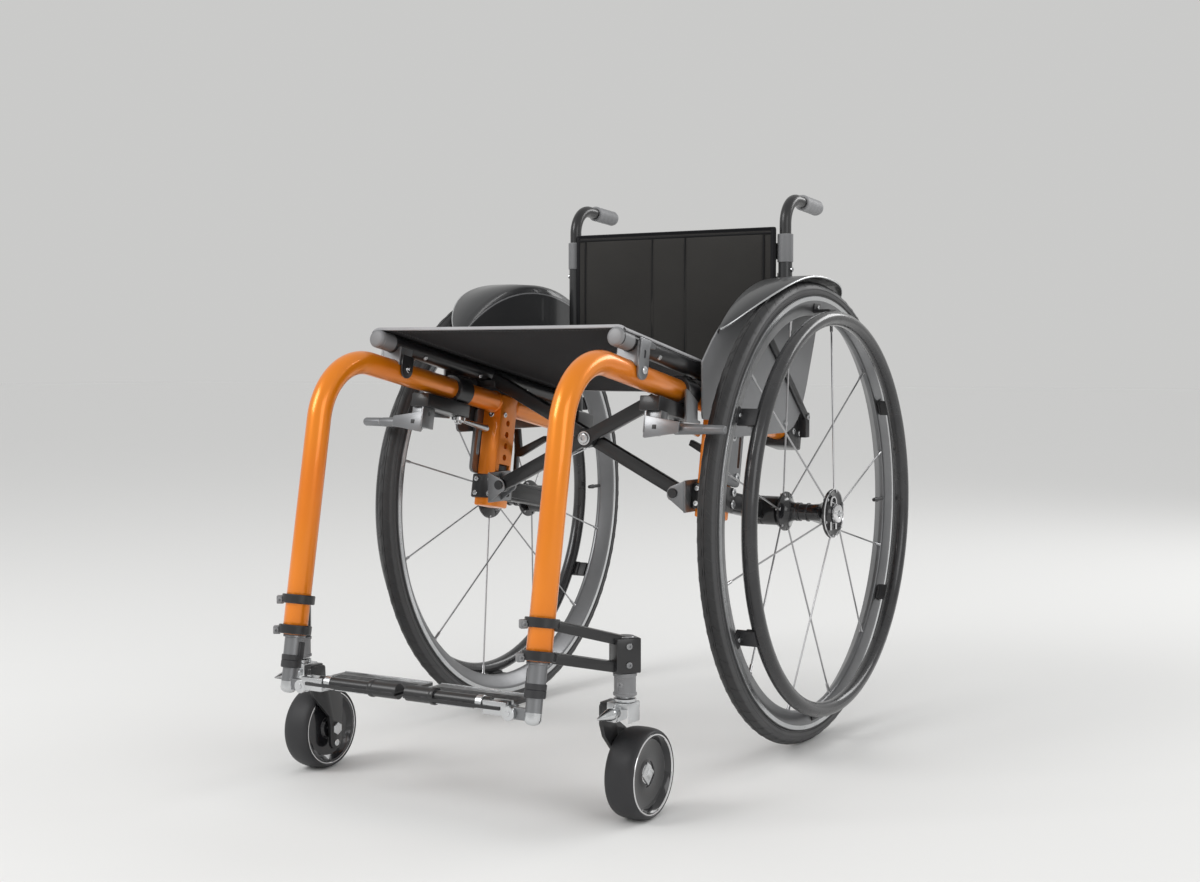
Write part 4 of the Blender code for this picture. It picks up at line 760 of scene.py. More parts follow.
def in_rim(depth):
    """A point on the spokes' line, a depth inwards from the rim's inner edge."""
    return from_hub(SPOKE_X, RIM_INNER - depth, 0)


valve = pin(in_rim(-0.001), in_rim(0.022), 0.0026, 16)
cap = pin(in_rim(0.018), in_rim(0.031), 0.0034, 16, 0.0008, 0.0026)
fit_pair([valve, cap], "valve", "wheel", BLACK_PLASTIC)

# %% [markdown]
# A spoke is drawn steel wire that leaves the hub flange at a slight lead, so that it can carry
# turning as well as load. Six go to the outer flange and six to the inner one. A brass or
# steel nipple holds each at the rim. One spoke of each kind is made and copied round.

# %% Spokes and nipples
SPOKES = 12
FIRST_SPOKE = 75
LEAD = 4
FLANGES = ((0.2668, 0.029, 0, 1), (0.2012, 0.023, 30, -1))
NIPPLE = [(0, 0), (0, 0.0014), (0.0015, 0.0020), (0.0105, 0.0020), (0.0130, 0.0030), (0.0135, 0.0)]
spokes = []
for flange_x, flange_radius, turn, away in FLANGES:
    angle = FIRST_SPOKE - turn
    root = from_hub(flange_x, flange_radius, angle + LEAD)
    tip = from_hub(SPOKE_X, RIM_INNER - 0.0005, angle)
    run = (tip - root).normalized()
    wire = pin(root, tip, 0.00115, 10, 0)
    nipple = turned(NIPPLE, tip - run * 0.0125, run, 12)
    head = pin(root - SIDE * away * 0.0030, root + SIDE * away * 0.0042, 0.0019, 12, 0.0005)
    spokes.append(ring_of(together(wire, nipple, head), SPOKES // 2))
fit_pair(spokes, "spokes", "wheel", SPOKE_STEEL)

# %% [markdown]
# The hub is turned from one bar: a wide outer flange, a waist, and a smaller inner flange. A
# thin polished ring edges the outer flange, and a raised loop round the middle guards the
# release button.

# %% Hub
HUB_INNER = 0.1985
HUB_OUTER = 0.2700
INNER_END = [
    (0, 0.0068), (0, 0.0215), (0.0010, 0.0255), (0.0022, 0.0260), (0.0040, 0.0256), (0.0060, 0.0185),
    (0.0095, 0.0140), (0.0160, 0.0118), (0.0250, 0.0108),
]
OUTER_END = [
    (0.0300, 0.0108), (0.0200, 0.0120), (0.0120, 0.0165), (0.0070, 0.0260), (0.0048, 0.0312),
    (0.0030, 0.0320), (0.0010, 0.0314), (0.0006, 0.0290), (0.0030, 0.0250), (0.0030, 0.0160),
    (0.0012, 0.0140), (0, 0.0132), (0, 0.0068),
]
hub_section = [(HUB_INNER + x, r) for x, r in INNER_END] + [(HUB_OUTER - x, r) for x, r in OUTER_END]
waist_rings = [
    turned(ring_section(x, x + 0.0016, 0.0100, 0.0122), AXLE, steps=64) for x in (0.2175, 0.2215, 0.2330)
]
fit_pair([turned(hub_section, AXLE, steps=96), *waist_rings], "hub", "wheel", HUB_BLACK, "hub_and_spokes")

flange_corners = ((0.0012, 0.0306), (0.0002, 0.0309), (0.0002, 0.0317), (0.0012, 0.0320))
flange_ring = turned([(HUB_OUTER - x, r) for x, r in flange_corners], AXLE, steps=96)
LOOP_R = 0.0085
loop_foot = AXLE + SIDE * (HUB_OUTER - 0.0016) - UP * 0.0210
loop_top = loop_foot + UP * 0.0340
loop_path = [loop_foot - BACK * LOOP_R]
for degrees in range(0, 181, 15):
    a = radians(degrees)
    loop_path.append(loop_top - BACK * LOOP_R * cos(a) + UP * LOOP_R * sin(a))
loop_path.append(loop_foot + BACK * LOOP_R)
fit_pair([flange_ring, bent_tube(loop_path, 0.0013, 12)], "hub_trim", "wheel", POLISHED)

# %% [markdown]
# The wheel comes off when the button in the axle's end is pressed and the axle is pulled. The
# axle is a ground steel pin with a collar; the button is a small domed plunger.

# %% Quick-release axle and button
COLLAR = 0.2703
COLLAR_END = [
    (0, 0.0062), (0, 0.0118), (0.0008, 0.0125), (0.0040, 0.0125), (0.0062, 0.0112), (0.0065, 0.0100),
    (0.0065, 0.0056), (0.0058, 0.0049), (-0.0058, 0.0049), (-0.0060, 0.0020),
]
axle_section = [(0.1490, 0.0020), (0.1490, 0.0048), (0.1502, 0.0062), (0.1900, 0.0062)]
axle_section += [(COLLAR + x, r) for x, r in COLLAR_END]
locking_balls = [ball(AXLE + Vector((0.1560, side * 0.0054, 0)), 0.0018, 16) for side in (-1, 1)]
fit_pair([turned(axle_section, AXLE), *locking_balls], "axle_pin", "axle", POLISHED, "quick_release_axle")
button_section = [
    (-0.0022, 0), (-0.0022, 0.0043), (0.0070, 0.0043), (0.0085, 0.0038), (0.0093, 0.0022), (0.0095, 0)
]
button = turned(button_section, AXLE + SIDE * COLLAR, steps=32)
fit_pair(button, "release_button", "button", BRIGHT_METAL, "axle_button")

# %% [markdown]
# The hand rim is a black hoop with a gloss. Six short tabs hold it off the rim; each is a
# folded black plate with a bolt, seen on the real wheel as a dark band between the two hoops.

# %% Hand rim and tabs
HANDRIM_X = 0.2684
HANDRIM_RADIUS = 0.2513
TUBE = 0.0095
TABS = 6
TAB = 30
rim_hoop = hoop(round_section(HANDRIM_X - WHEEL_X, HANDRIM_RADIUS, TUBE, 24))
weld_section = [(0, 0.0088), (0, 0.00955), (0.0012, 0.00965), (0.0024, 0.00955), (0.0024, 0.0088)]
weld = turned(weld_section, from_hub(HANDRIM_X, HANDRIM_RADIUS, 90) - BACK * 0.0012, BACK, 32)
fit_pair([rim_hoop, weld], "hand_rim", "wheel", HANDRIM_METAL, "handrim")


def tab_bar(x, radius, size, soft):
    across = (0, -sin(radians(TAB)), cos(radians(TAB)))
    return bar(from_hub(x, radius, TAB), size, (SIDE, across), soft)


tab = [
    tab_bar(0.2540, RIM_INNER + 0.0050, (0.0236, 0.022, 0.0040), 0.0008),
    tab_bar(0.2436, RIM_INNER + 0.0085, (0.0026, 0.020, 0.0130), 0.0008),
    tab_bar(HANDRIM_X - 0.0085, HANDRIM_RADIUS + 0.0075, (0.0110, 0.022, 0.0050), 0.0015),
]
fit_pair(ring_of(together(tab), TABS), "hand_rim_tabs", "wheel", BLACK_PLASTIC)
tab_bolt = bolt(from_hub(0.2448, RIM_INNER + 0.0090, TAB), SIDE, 0.0032, 0.0020)
fit_pair(ring_of(tab_bolt, TABS), "tab_bolts", "wheel", BRIGHT_METAL)


# %% [markdown]
# ## Side frames
# Each side frame is one bent front tube, plugged into a shorter rear rail that carries a
# square upright. The lines below are the same ones that the CAD model is drawn on: a rail
# that falls towards the back, and a leg that leans forward.

# %% Frame lines
FRAME_X = 0.166
TUBE_RADIUS = 0.014
SEAT_TILT = radians(11.0)
LEG_LEAN = radians(10.5)
BEND_RADIUS = 0.080
LEG_FOOT_Y = -0.5433
LEG_FOOT_Z = 0.184
RAIL_Y = -0.215
RAIL_Z = 0.4564
FRONT_TUBE_END = -0.238
UPRIGHT_X = 0.1665
UPRIGHT_Y = -0.1210
UPRIGHT_HALF = 0.0145
INNER_FACE = UPRIGHT_X - UPRIGHT_HALF

ALONG = Vector((0, cos(SEAT_TILT), -sin(SEAT_TILT)))
ABOVE = Vector((0, sin(SEAT_TILT), cos(SEAT_TILT)))
LEG_UP = Vector((0, sin(LEG_LEAN), cos(LEG_LEAN)))


def at(x, y, z):
    """A point given from the rear axle's line, put in the chair's own frame."""
    return Vector((x, y + AXLE_Y, z))


def rail_point(y, x=FRAME_X, rise=0.0):
    return at(x, y, RAIL_Z - tan(SEAT_TILT) * (y - RAIL_Y)) + ABOVE * rise


def leg_point(z, x=FRAME_X):
    return at(x, LEG_FOOT_Y + tan(LEG_LEAN) * (z - LEG_FOOT_Z), z)


def upright_point(down, back=0.0, x=UPRIGHT_X):
    return rail_point(UPRIGHT_Y, x) - ABOVE * down + ALONG * back


def rail_bar(centre, size, soft=0.0006):
    """A bar whose second edge runs along the rail."""
    return bar(centre, size, (SIDE, ALONG), soft)


# %% [markdown]
# The front tube is bent cold round a former, so its section stays round and its curve is one
# true arc. It is drawn as a curve with 30 points in the bend. Its end is slightly rounded
# where the tube was deburred before it was painted.

# %% Front tubes
BEND_POINTS = 30
lean = tan(LEG_LEAN)
slope = tan(SEAT_TILT)
corner_y = (LEG_FOOT_Y + lean * (RAIL_Z + slope * RAIL_Y - LEG_FOOT_Z)) / (1 + lean * slope)
bend = LEG_UP.angle(ALONG)
bend_start = rail_point(corner_y) - LEG_UP * BEND_RADIUS * tan(bend / 2)
inwards = LEG_UP.cross(ALONG).cross(LEG_UP).normalized()
tube_path = [leg_point(LEG_FOOT_Z), leg_point(LEG_FOOT_Z + 0.001)]
for k in range(BEND_POINTS + 1):
    a = bend * k / BEND_POINTS
    tube_path.append(bend_start + (inwards * (1 - cos(a)) + LEG_UP * sin(a)) * BEND_RADIUS)
tube_end = rail_point(FRONT_TUBE_END)
tube_path += [tube_end - ALONG * 0.0015, tube_end - ALONG * 0.0005, tube_end]
tube_radii = [0.0134] + [TUBE_RADIUS] * (len(tube_path) - 3) + [0.0137, 0.0130]
fit_pair(bent_tube(tube_path, tube_radii, 64), "front_tube", "side", ORANGE, "front_tube")
print("front tube bend:", round(bend * 180 / pi, 1), "degrees")

# %% [markdown]
# The rear rail is welded through the top of the square upright. The upright has a row of
# holes for moving the axle up or down, and a square window below them. The holes are drilled
# with round cutters after the edges are softened, so that their rims stay crisp.

# %% Rear rail and upright
WINDOW_DOWN = 0.0889
rail = bent_tube(
    [tube_end + ALONG * 0.0003, tube_end + ALONG * 0.0012, rail_point(0.064), rail_point(0.065)],
    [0.0133, TUBE_RADIUS, TUBE_RADIUS, 0.0132], 64,
)
upright = rail_bar(upright_point(0.0652), (0.029, 0.038, 0.1504), 0.0022)
drills = []
for k in range(4):
    hole = upright_point(0.0264 + 0.0155 * k, 0, INNER_FACE)
    drills.append(pin(hole - SIDE * 0.004, hole + SIDE * 0.010, 0.0042, 24, 0))
window = upright_point(WINDOW_DOWN, 0.001, INNER_FACE)
upright = cut_away(upright, *drills, rail_bar(window, (0.016, 0.024, 0.0125), 0.0008))
plug_piece = rail_bar(window + SIDE * 0.0035, (0.0020, 0.0225, 0.0110))
fit_pair(plug_piece, "upright_plug", "side", BLACK_PLASTIC)
BEAD = [(-0.0018, 0.0138), (-0.0012, 0.0150), (0.0008, 0.0153), (0.0020, 0.0138)]
beads = [turned(BEAD, rail_point(UPRIGHT_Y + off), ALONG) for off in (-0.0205, 0.0205)]
fit_pair([upright, rail, *beads], "rear_frame", "side", ORANGE, "rear_frame")

COLLAR = ring_section(0, 0.0028, 0.0137, 0.0147, 0.0006, 0.0003)
fit_pair(turned(COLLAR, tube_end - ALONG * 0.0014, ALONG), "rail_joint_ring", "side", BLACK_PAINT)
top_bolts = [
    bolt(upright_point(0.0165, -0.0186), -ALONG, 0.0042, 0.0026),
    bolt(upright_point(0.0165, -0.010, INNER_FACE + 0.0004), -SIDE, 0.0036, 0.0022),
]
fit_pair(top_bolts, "upright_bolts", "side", BRIGHT_METAL)

# %% [markdown]
# The axle carrier is a black sleeve that slides on the upright, with an arm back to the axle
# boss and a short V-shaped strap. It is bolted through the holes, so the axle can be moved.

# %% Axle carrier
sleeve_mid = upright_point(0.1144)
sleeve = rail_bar(sleeve_mid, (0.037, 0.046, 0.032), 0.0020)
sleeve = cut_away(sleeve, rail_bar(sleeve_mid, (0.0296, 0.0386, 0.060), 0))
arm_start = sleeve_mid + ALONG * 0.021
arm_end = at(UPRIGHT_X, 0, WHEEL_RADIUS)
arm_mid = (arm_start + arm_end) / 2
arm_length = (arm_end - arm_start).length
arm_run = (arm_end - arm_start).normalized()
arm_up = SIDE.cross(arm_run)
arm = bar(arm_mid, (0.018, arm_length, 0.026), (SIDE, arm_run), 0.0022)
ribs = [
    bar(arm_mid + arm_up * rise, (0.0205, arm_length * 0.8, 0.0040), (SIDE, arm_run), 0.0012)
    for rise in (-0.0105, 0.0105)
]
BOSS = [
    (0, 0.0068), (0, 0.0165), (0.0025, 0.0190), (0.0180, 0.0190), (0.0195, 0.0178), (0.0210, 0.0190),
    (0.0405, 0.0190), (0.0430, 0.0165), (0.0430, 0.0068),
]
boss = turned(BOSS, at(0.1520, 0, WHEEL_RADIUS), SIDE, 64)
STRAP = [
    (0.160, 0.305), (0.166, 0.305), (0.160, 0.372), (0.160, 0.404), (0.153, 0.404), (0.1505, 0.378),
    (0.112, 0.3955), (0.109, 0.3885), (0.150, 0.3660), (0.156, 0.3660),
]
strap_front = UPRIGHT_Y + 0.0215
strap = plate([at(x, strap_front, z) for x, z in STRAP], BACK * 0.008, 0.0008)
fit_pair([sleeve, arm, *ribs, boss, strap], "axle_carrier", "side", BLACK_PAINT, "axle_carrier")
carrier_bolts = [
    bolt(sleeve_mid - ALONG * 0.0228 + SIDE * out + ABOVE * rise, -ALONG, 0.0034, 0.0022)
    for rise in (0.009, -0.010) for out in (-0.011, 0.011)
]
carrier_bolts.append(bolt(sleeve_mid - SIDE * 0.0183 - ALONG * 0.012, -SIDE, 0.0040, 0.0024))
BOSS_RING = [(0, 0.0066), (0, 0.0100), (0.0014, 0.0104), (0.0014, 0.0066)]
boss_ring = turned(BOSS_RING, at(0.1508, 0, WHEEL_RADIUS), SIDE, 32)
fit_pair([*carrier_bolts, boss_ring], "carrier_bolts", "side", BRIGHT_METAL)

# %% [markdown]
# A thick grey plate outside the upright spreads the load of the wheel. It is cut from sheet
# with rounded corners and two upright slots. Bright bolts hold it and the sleeve below it.

# %% Side plate
PLATE_X = UPRIGHT_X + UPRIGHT_HALF + 0.0003
PLATE_MID = 0.0534
PLATE_CORNER = 0.0080
PLATE_HALF = (0.0320, 0.0440)
plate_mid = upright_point(PLATE_MID, 0, PLATE_X)
plate_corners = []
for quarter, (fore, high) in enumerate(((1, 1), (-1, 1), (-1, -1), (1, -1))):
    for turn in (0, 30, 60, 90):
        a = radians(90 * quarter + turn)
        run = fore * (PLATE_HALF[0] - PLATE_CORNER) + PLATE_CORNER * cos(a)
        rise = high * (PLATE_HALF[1] - PLATE_CORNER) + PLATE_CORNER * sin(a)
        plate_corners.append(plate_mid + ALONG * run + ABOVE * rise)
slots = [rail_bar(plate_mid + ALONG * off, (0.02, 0.0065, 0.040), 0.0025) for off in (0.0225, -0.0225)]
side_plate = cut_away(plate(plate_corners, SIDE * 0.005, 0.0009), *slots)
fit_pair(side_plate, "side_plate", "side", SATIN_GREY, "side_plate")
PLATE_FACE = PLATE_X + 0.0048
SLEEVE_FACE = UPRIGHT_X + 0.0183
plate_bolts = [bolt(upright_point(down, 0, PLATE_FACE), SIDE, 0.0050, 0.0034) for down in (0.0194, 0.0374)]
LOW_BOLTS = ((0.0850, 0.0206, PLATE_FACE), (0.1045, 0.0175, SLEEVE_FACE), (0.1195, 0.0175, SLEEVE_FACE))
for down, back, face in LOW_BOLTS:
    plate_bolts.append(bolt(upright_point(down, back, face), SIDE, 0.0052, 0.0028))
fit_pair(plate_bolts, "side_plate_bolts", "side", BRIGHT_METAL)

# %% [markdown]
# ## Seat
# Two round rails carry the seat. They belong to the cross brace, and rest in open saddles on
# the front tubes when the chair is open. The rails end in grey plugs.

# %% Seat rails and their plugs
RAIL_X = 0.168
RAIL_R = 0.011
RISE = 0.0334
SEAT_FRONT = -0.389
SEAT_REAR = 0.040
BRACES = ("brace_a", "brace_b")


def seat_point(y, x=RAIL_X, rise=0.0):
    return rail_point(y - sin(SEAT_TILT) * RISE, x, RISE) + ABOVE * rise


seat_rail = pin(seat_point(SEAT_FRONT + 0.003), seat_point(SEAT_REAR - 0.003), RAIL_R, 48)
fit_pair(seat_rail, "seat_rail", "", BLACK_PAINT, "seat_rail", bodies=BRACES)
PLUG = [
    (0, 0), (0, 0.0072), (0.0004, 0.0088), (0.0014, 0.0104), (0.0026, 0.0110), (0.0060, 0.0110), (0.0060, 0)
]
plugs = [turned(PLUG, seat_point(SEAT_FRONT), ALONG), turned(PLUG, seat_point(SEAT_REAR), -ALONG)]
grey_sleeve = turned(ring_section(0, 0.0220, 0.0105, 0.01115), seat_point(SEAT_FRONT + 0.0055), ALONG)
fit_pair([*plugs, grey_sleeve], "rail_plugs", "", GUARD_GREY, bodies=BRACES)
sling_screws = []
for y in (-0.300, -0.180, -0.070):
    for out in (0.8, -0.8):
        away = (SIDE * out - ABOVE * 0.6).normalized()
        sling_screws.append(bolt(seat_point(y) + away * (RAIL_R - 0.0006), away, 0.0030, 0.0022))
fit_pair(sling_screws, "sling_screws", "", BRIGHT_METAL, bodies=BRACES)

# %% [markdown]
# The saddle is a cast block hollowed below for the tube and above for the rail, with an outer
# cheek that hangs down beside the tube and takes the bolt, and a thin black inner cheek.

# %% Seat saddles
SADDLE_Y = -0.3520
SADDLE_IN = 0.1530
CHEEK_OUT = FRAME_X + TUBE_RADIUS + 0.0003
CHEEK_IN = FRAME_X - TUBE_RADIUS - 0.0029
saddle_out = CHEEK_OUT + 0.001
saddle_mid = rail_point(SADDLE_Y, (SADDLE_IN + saddle_out) / 2, 0.0208)
saddle = rail_bar(saddle_mid, (saddle_out - SADDLE_IN, 0.024, 0.0292), 0.0012)
reach = ALONG * 0.03
below = rail_point(SADDLE_Y)
above_it = rail_point(SADDLE_Y, RAIL_X, RISE)
mouth = rail_bar(rail_point(SADDLE_Y, RAIL_X - 0.0084, RISE + 0.0060), (0.040, 0.060, 0.020), 0)
tube_seat = pin(below - reach, below + reach, 0.0143, 48, 0)
cradle = pin(above_it - reach, above_it + reach, 0.0116, 48, 0)
saddle = cut_away(saddle, tube_seat, cradle, mouth)


def saddle_cheek(x, depth, top, wing=()):
    """A plate beside the saddle: round below, with a small wing behind it if wanted."""
    corners = [(-0.011, top)]
    corners += [(-0.011 * cos(pi * k / 12), 0.003 - 0.011 * sin(pi * k / 12)) for k in range(13)]
    corners += [(a, top - b) for a, b in wing] + [(0.011, top)]
    return plate([rail_point(SADDLE_Y, x) + ALONG * a + ABOVE * b for a, b in corners], SIDE * depth, 0.0006)


WING = [(0.011, 0.0090), (0.0225, 0.0078), (0.0240, 0.0060), (0.0235, 0.0024)]
cheek_slot = rail_bar(rail_point(SADDLE_Y, CHEEK_OUT, 0.0215), (0.012, 0.0050, 0.0100), 0.002)
outer_cheek = cut_away(saddle_cheek(CHEEK_OUT, 0.0035, 0.0389, WING), cheek_slot)
fit_pair([saddle, outer_cheek], "seat_saddle", "side", SATIN_GREY, "seat_saddle")
fit_pair(saddle_cheek(CHEEK_IN, 0.0026, 0.0200), "saddle_inner_cheek", "side", BLACK_PAINT)
saddle_bolts = [
    bolt(rail_point(SADDLE_Y, CHEEK_OUT + 0.0033, 0.0030), SIDE, 0.0048, 0.0030),
    bolt(rail_point(SADDLE_Y, CHEEK_IN + 0.0001, 0.0030), -SIDE, 0.0042, 0.0026),
]
fit_pair(saddle_bolts, "saddle_bolts", "side", POLISHED)

# %% [markdown]
# The seat is one sheet of strong nylon, pulled tight over both rails, with its edges turned
# down outside them. It is a grid laid over that curve, given its thickness by a Solidify
# modifier.

# %% Seat sling
SLING_RISE = 0.01255
SLING_THICKNESS = 0.0022
TURN_DOWN = radians(56)
HALF_WIDTH = RAIL_X + SLING_RISE * TURN_DOWN
SLING_LENGTH = 0.421
SLING_SAG = 0.0030


def sling_point(u, v, lift=0.0):
    """A place on the sling: u across from -1 to 1, v along from 0 to 1, lifted off its face."""
    run = abs(u) * HALF_WIDTH
    side = 1 if u >= 0 else -1
    y = SEAT_FRONT + 0.005 + (SLING_LENGTH - 0.004) * cos(SEAT_TILT) * v
    if run <= RAIL_X:
        slack = (1 - (run / RAIL_X) ** 2) * SLING_SAG * (0.15 + 0.85 * sin(pi * min(v * 1.15, 1)))
        return seat_point(y, side * run, SLING_RISE - slack + lift)
    a = (run - RAIL_X) / SLING_RISE
    r = SLING_RISE + lift
    return seat_point(y, side * (RAIL_X + r * sin(a)), r * cos(a))


def cloth_strip(u_range, v_range, columns, rows, thickness):
    """A grid laid on the sling between two values of u and v, with a thickness."""
    nothing_selected()
    bpy.ops.mesh.primitive_grid_add(x_subdivisions=columns, y_subdivisions=rows, size=1)
    piece = bpy.context.object
    for point in piece.data.vertices:
        u = u_range[0] + (u_range[1] - u_range[0]) * (point.co.x + 0.5)
        v = v_range[0] + (v_range[1] - v_range[0]) * (point.co.y + 0.5)
        point.co = sling_point(u, v)
    modify(piece, "SOLIDIFY", thickness=thickness, offset=0)
    return smooth(settle(piece), 40)


def fold_with_brace(piece):
    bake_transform(piece)


cloth = cloth_strip((-1, 1), (0, 1), 96, 60, SLING_THICKNESS)
sling = fit(cloth, "seat_cloth", fold_with_brace, SEAT_NYLON, "seat_sling")
EDGE = 0.0035
TAPE_THICKNESS = SLING_THICKNESS + 0.0010
u_edge = 1 - EDGE * 1.2 / HALF_WIDTH
v_edge = EDGE / SLING_LENGTH
tapes = [cloth_strip(ends, (0, 1), 4, 60, TAPE_THICKNESS) for ends in ((-1, -u_edge), (u_edge, 1))]
for ends in ((-0.0016, v_edge), (1 - v_edge, 1.0008)):
    tapes.append(cloth_strip((-u_edge, u_edge), ends, 90, 4, TAPE_THICKNESS))
tape = fit(tapes, "seat_edge_tape", fold_with_brace, EDGE_TAPE)

# %% [markdown]
# Stitching is a row of short threads. One stitch is a small capsule with a dozen faces; it is
# copied along each seam, on both faces of the cloth, and the rows become one piece.

# %% Stitch rows on the seat
STITCH = 0.0034
GAP = 0.0052
THREAD_R = 0.00035


def stitches(rows):
    """Copies of one stitch along rows of (start, end) pairs, as one mesh."""
    length = (rows[0][1] - rows[0][0]).length
    section = [(0, 0), (0.0004, THREAD_R), (length - 0.0004, THREAD_R), (length, 0)]
    pattern = turned(section, Vector((0, 0, 0)), UP, 6)
    pieces = []
    for start, end in rows:
        facing = UP.rotation_difference((end - start).normalized()).to_matrix().to_4x4()
        pieces.append(copy_of(pattern, Matrix.Translation(start) @ facing))
    bpy.data.objects.remove(pattern, do_unlink=True)
    return together(pieces)


faces = (SLING_THICKNESS / 2 + 0.0001, -SLING_THICKNESS / 2 - 0.0001)
rows = []
count = int(SLING_LENGTH / GAP)
for u in (-0.835, -0.815, 0.815, 0.835):
    for k in range(count):
        ends = ((k + 0.2) / count, (k + 0.2 + STITCH / GAP) / count)
        rows += [tuple(sling_point(u, v, lift) for v in ends) for lift in faces]
ROW_END = 0.81
count = int(2 * ROW_END * HALF_WIDTH / GAP)
for k in range(count):
    ends = [ROW_END * (2 * k0 / count - 1) for k0 in (k + 0.2, k + 0.2 + STITCH / GAP)]
    rows += [tuple(sling_point(u, 0.030, lift) for u in ends) for lift in faces]
seat_thread = fit(stitches(rows), "seat_stitches", fold_with_brace, THREAD_GREY)
print("sling flat size:", round(2 * HALF_WIDTH, 3), "by", SLING_LENGTH, "stitches:", len(rows))

# %% [markdown]
# ## Cross brace
# Two flat black bars cross under the seat and turn on one bolt. Each runs from a pivot low
# on one upright to the seat rail of the other side. Pulling the seat up folds the chair.

# %% Cross bars
PIVOT_X = 0.130
PIVOT_Z = 0.3332
BRACE_ANGLE = radians(26.5)
BRACE_Y = -0.166
BAR_THICKNESS = 0.011
BAR_HEIGHT = 0.017
BAR_OFFSET = (0.0015 + BAR_THICKNESS) / 2
brace_middle = at(0, BRACE_Y, PIVOT_Z + PIVOT_X * tan(BRACE_ANGLE))


def cross_bar(side, body):
    """The bar whose upper end is on this side; side is 1 for left."""
    y = BRACE_Y - side * BAR_OFFSET
    run = Vector((side * cos(BRACE_ANGLE), 0, sin(BRACE_ANGLE)))
    low = at(-side * PIVOT_X, y, PIVOT_Z)
    middle = brace_middle + BACK * (y - BRACE_Y)
    rail_z = seat_point(y).z
    length = (at(side * RAIL_X, y, rail_z) - low).dot(run) - RAIL_R - 0.0062
    beam = bar(low + run * length / 2, (length, BAR_THICKNESS, BAR_HEIGHT), (run, BACK), 0.0014)
    half = BACK * BAR_THICKNESS / 2
    eye = pin(low - half, low + half, 0.0100, 40, 0.0010)
    swell = pin(middle - BACK * 0.0054, middle + BACK * 0.0054, 0.0125, 40, 0.0012)
    shoe_low = rail_point(y - BAR_THICKNESS / 2).z + TUBE_RADIUS / cos(SEAT_TILT) + 0.0010
    shoe_high = rail_z - RAIL_R + 0.0030
    shoe_mid = at(side * (RAIL_X - 0.0075), y, (shoe_low + shoe_high) / 2)
    shoe = bar(shoe_mid, (0.029, BAR_THICKNESS + 0.002, shoe_high - shoe_low), None, 0.0010)
    rail_seat = [seat_point(y + end, side * RAIL_X) for end in (-0.03, 0.03)]
    shoe = cut_away(shoe, pin(*rail_seat, RAIL_R + 0.0003, 48, 0))
    node = "cross_bar_" + body[-1]
    fit([beam, eye, swell, shoe], node + "_bar", body, BLACK_PAINT, node)
    up = Vector((-side * sin(BRACE_ANGLE), 0, cos(BRACE_ANGLE)))
    # grey strips along the lower edge of each bar, either side of the bolt: a painted highlight where that
    # edge catches the light
    highlight_strips = []
    for start, end in ((-0.130, -0.020), (0.020, 0.125)):
        place = middle + run * (start + end) / 2 - up * (BAR_HEIGHT / 2 + 0.0002)
        highlight_strips.append(bar(place, (end - start, 0.0065, 0.0010), (run, BACK), 0.0003))
    fit(highlight_strips, "bar_painted_highlight_" + body[-1], body, GUARD_GREY)


cross_bar(1, "brace_a")
cross_bar(-1, "brace_b")

# %% [markdown]
# The centre bolt and its washers are bright steel. Each lower end turns on a pin held by a
# grey bracket of two triangular cheeks.

# %% Centre bolt
half = BAR_THICKNESS + 0.00075
HEAD_END = [
    (0.0046, 0), (0.0046, 0.0058), (0.0040, 0.0068), (0.0016, 0.0072), (0.0014, 0.0088), (0.0003, 0.0088),
    (0.0003, 0.0040),
]
NUT_END = [(0.0003, 0.0040), (0.0003, 0.0085), (0.0012, 0.0085), (0.0012, 0)]
bolt_section = [(-half - x, r) for x, r in HEAD_END] + [(half + x, r) for x, r in NUT_END]
nut = pin(brace_middle + BACK * (half + 0.0010), brace_middle + BACK * (half + 0.0046), 0.0070, 6)
socket_mid = brace_middle - BACK * (half + 0.0030)
hexagon = [socket_mid + (SIDE * cos(pi * k / 3) + UP * sin(pi * k / 3)) * 0.0032 for k in range(6)]
bolt_head = cut_away(turned(bolt_section, brace_middle, BACK, 40), plate(hexagon, BACK * -0.004, 0))
fit([bolt_head, nut], "brace_bolt", "brace_a", BRIGHT_METAL, "centre_bolt")

# %% Lower brackets
FRONT = BRACE_Y - half - 0.0003
REAR = BRACE_Y + half + 0.0003
BASE_X = INNER_FACE - 0.0043
EYE_LOW = [(-0.0085, -0.0025), (-0.0078, -0.0056), (-0.0058, -0.0082), (-0.0030, -0.0095)]
EYE_HIGH = [(-0.0005, 0.0090), (-0.0040, 0.0075), (-0.0070, 0.0045), (-0.0084, 0.0010)]
foot_x = BASE_X - 0.001 - PIVOT_X
cheek_outline = [*EYE_LOW, (foot_x, -0.024), (foot_x, 0.016), *EYE_HIGH]
cheeks = [
    plate([at(PIVOT_X + x, y, PIVOT_Z + z) for x, z in cheek_outline], BACK * 0.003, 0.0006)
    for y in (FRONT - 0.003, REAR)
]
back_mid = at(BASE_X - 0.0015, (FRONT + REAR + 0.021) / 2, PIVOT_Z - 0.004)
back_plate = bar(back_mid, (0.003, REAR - FRONT + 0.027, 0.040), None, 0.0008)
fit_pair([*cheeks, back_plate], "brace_bracket", "side", SATIN_GREY, "brace_bracket")
pivot_pin = pin(at(PIVOT_X, FRONT - 0.0040, PIVOT_Z), at(PIVOT_X, REAR + 0.0055, PIVOT_Z), 0.0040)
PIVOT_HEAD = [(0, 0), (0, 0.0056), (0.0006, 0.0062), (0.0022, 0.0062), (0.0022, 0)]
pivot_head = turned(PIVOT_HEAD, at(PIVOT_X, FRONT - 0.0055, PIVOT_Z), BACK, 32)
bracket_bolts = [
    bolt(at(BASE_X - 0.0028, REAR + 0.014, PIVOT_Z + h), -SIDE, 0.0036, 0.0022) for h in (-0.016, 0.008)
]
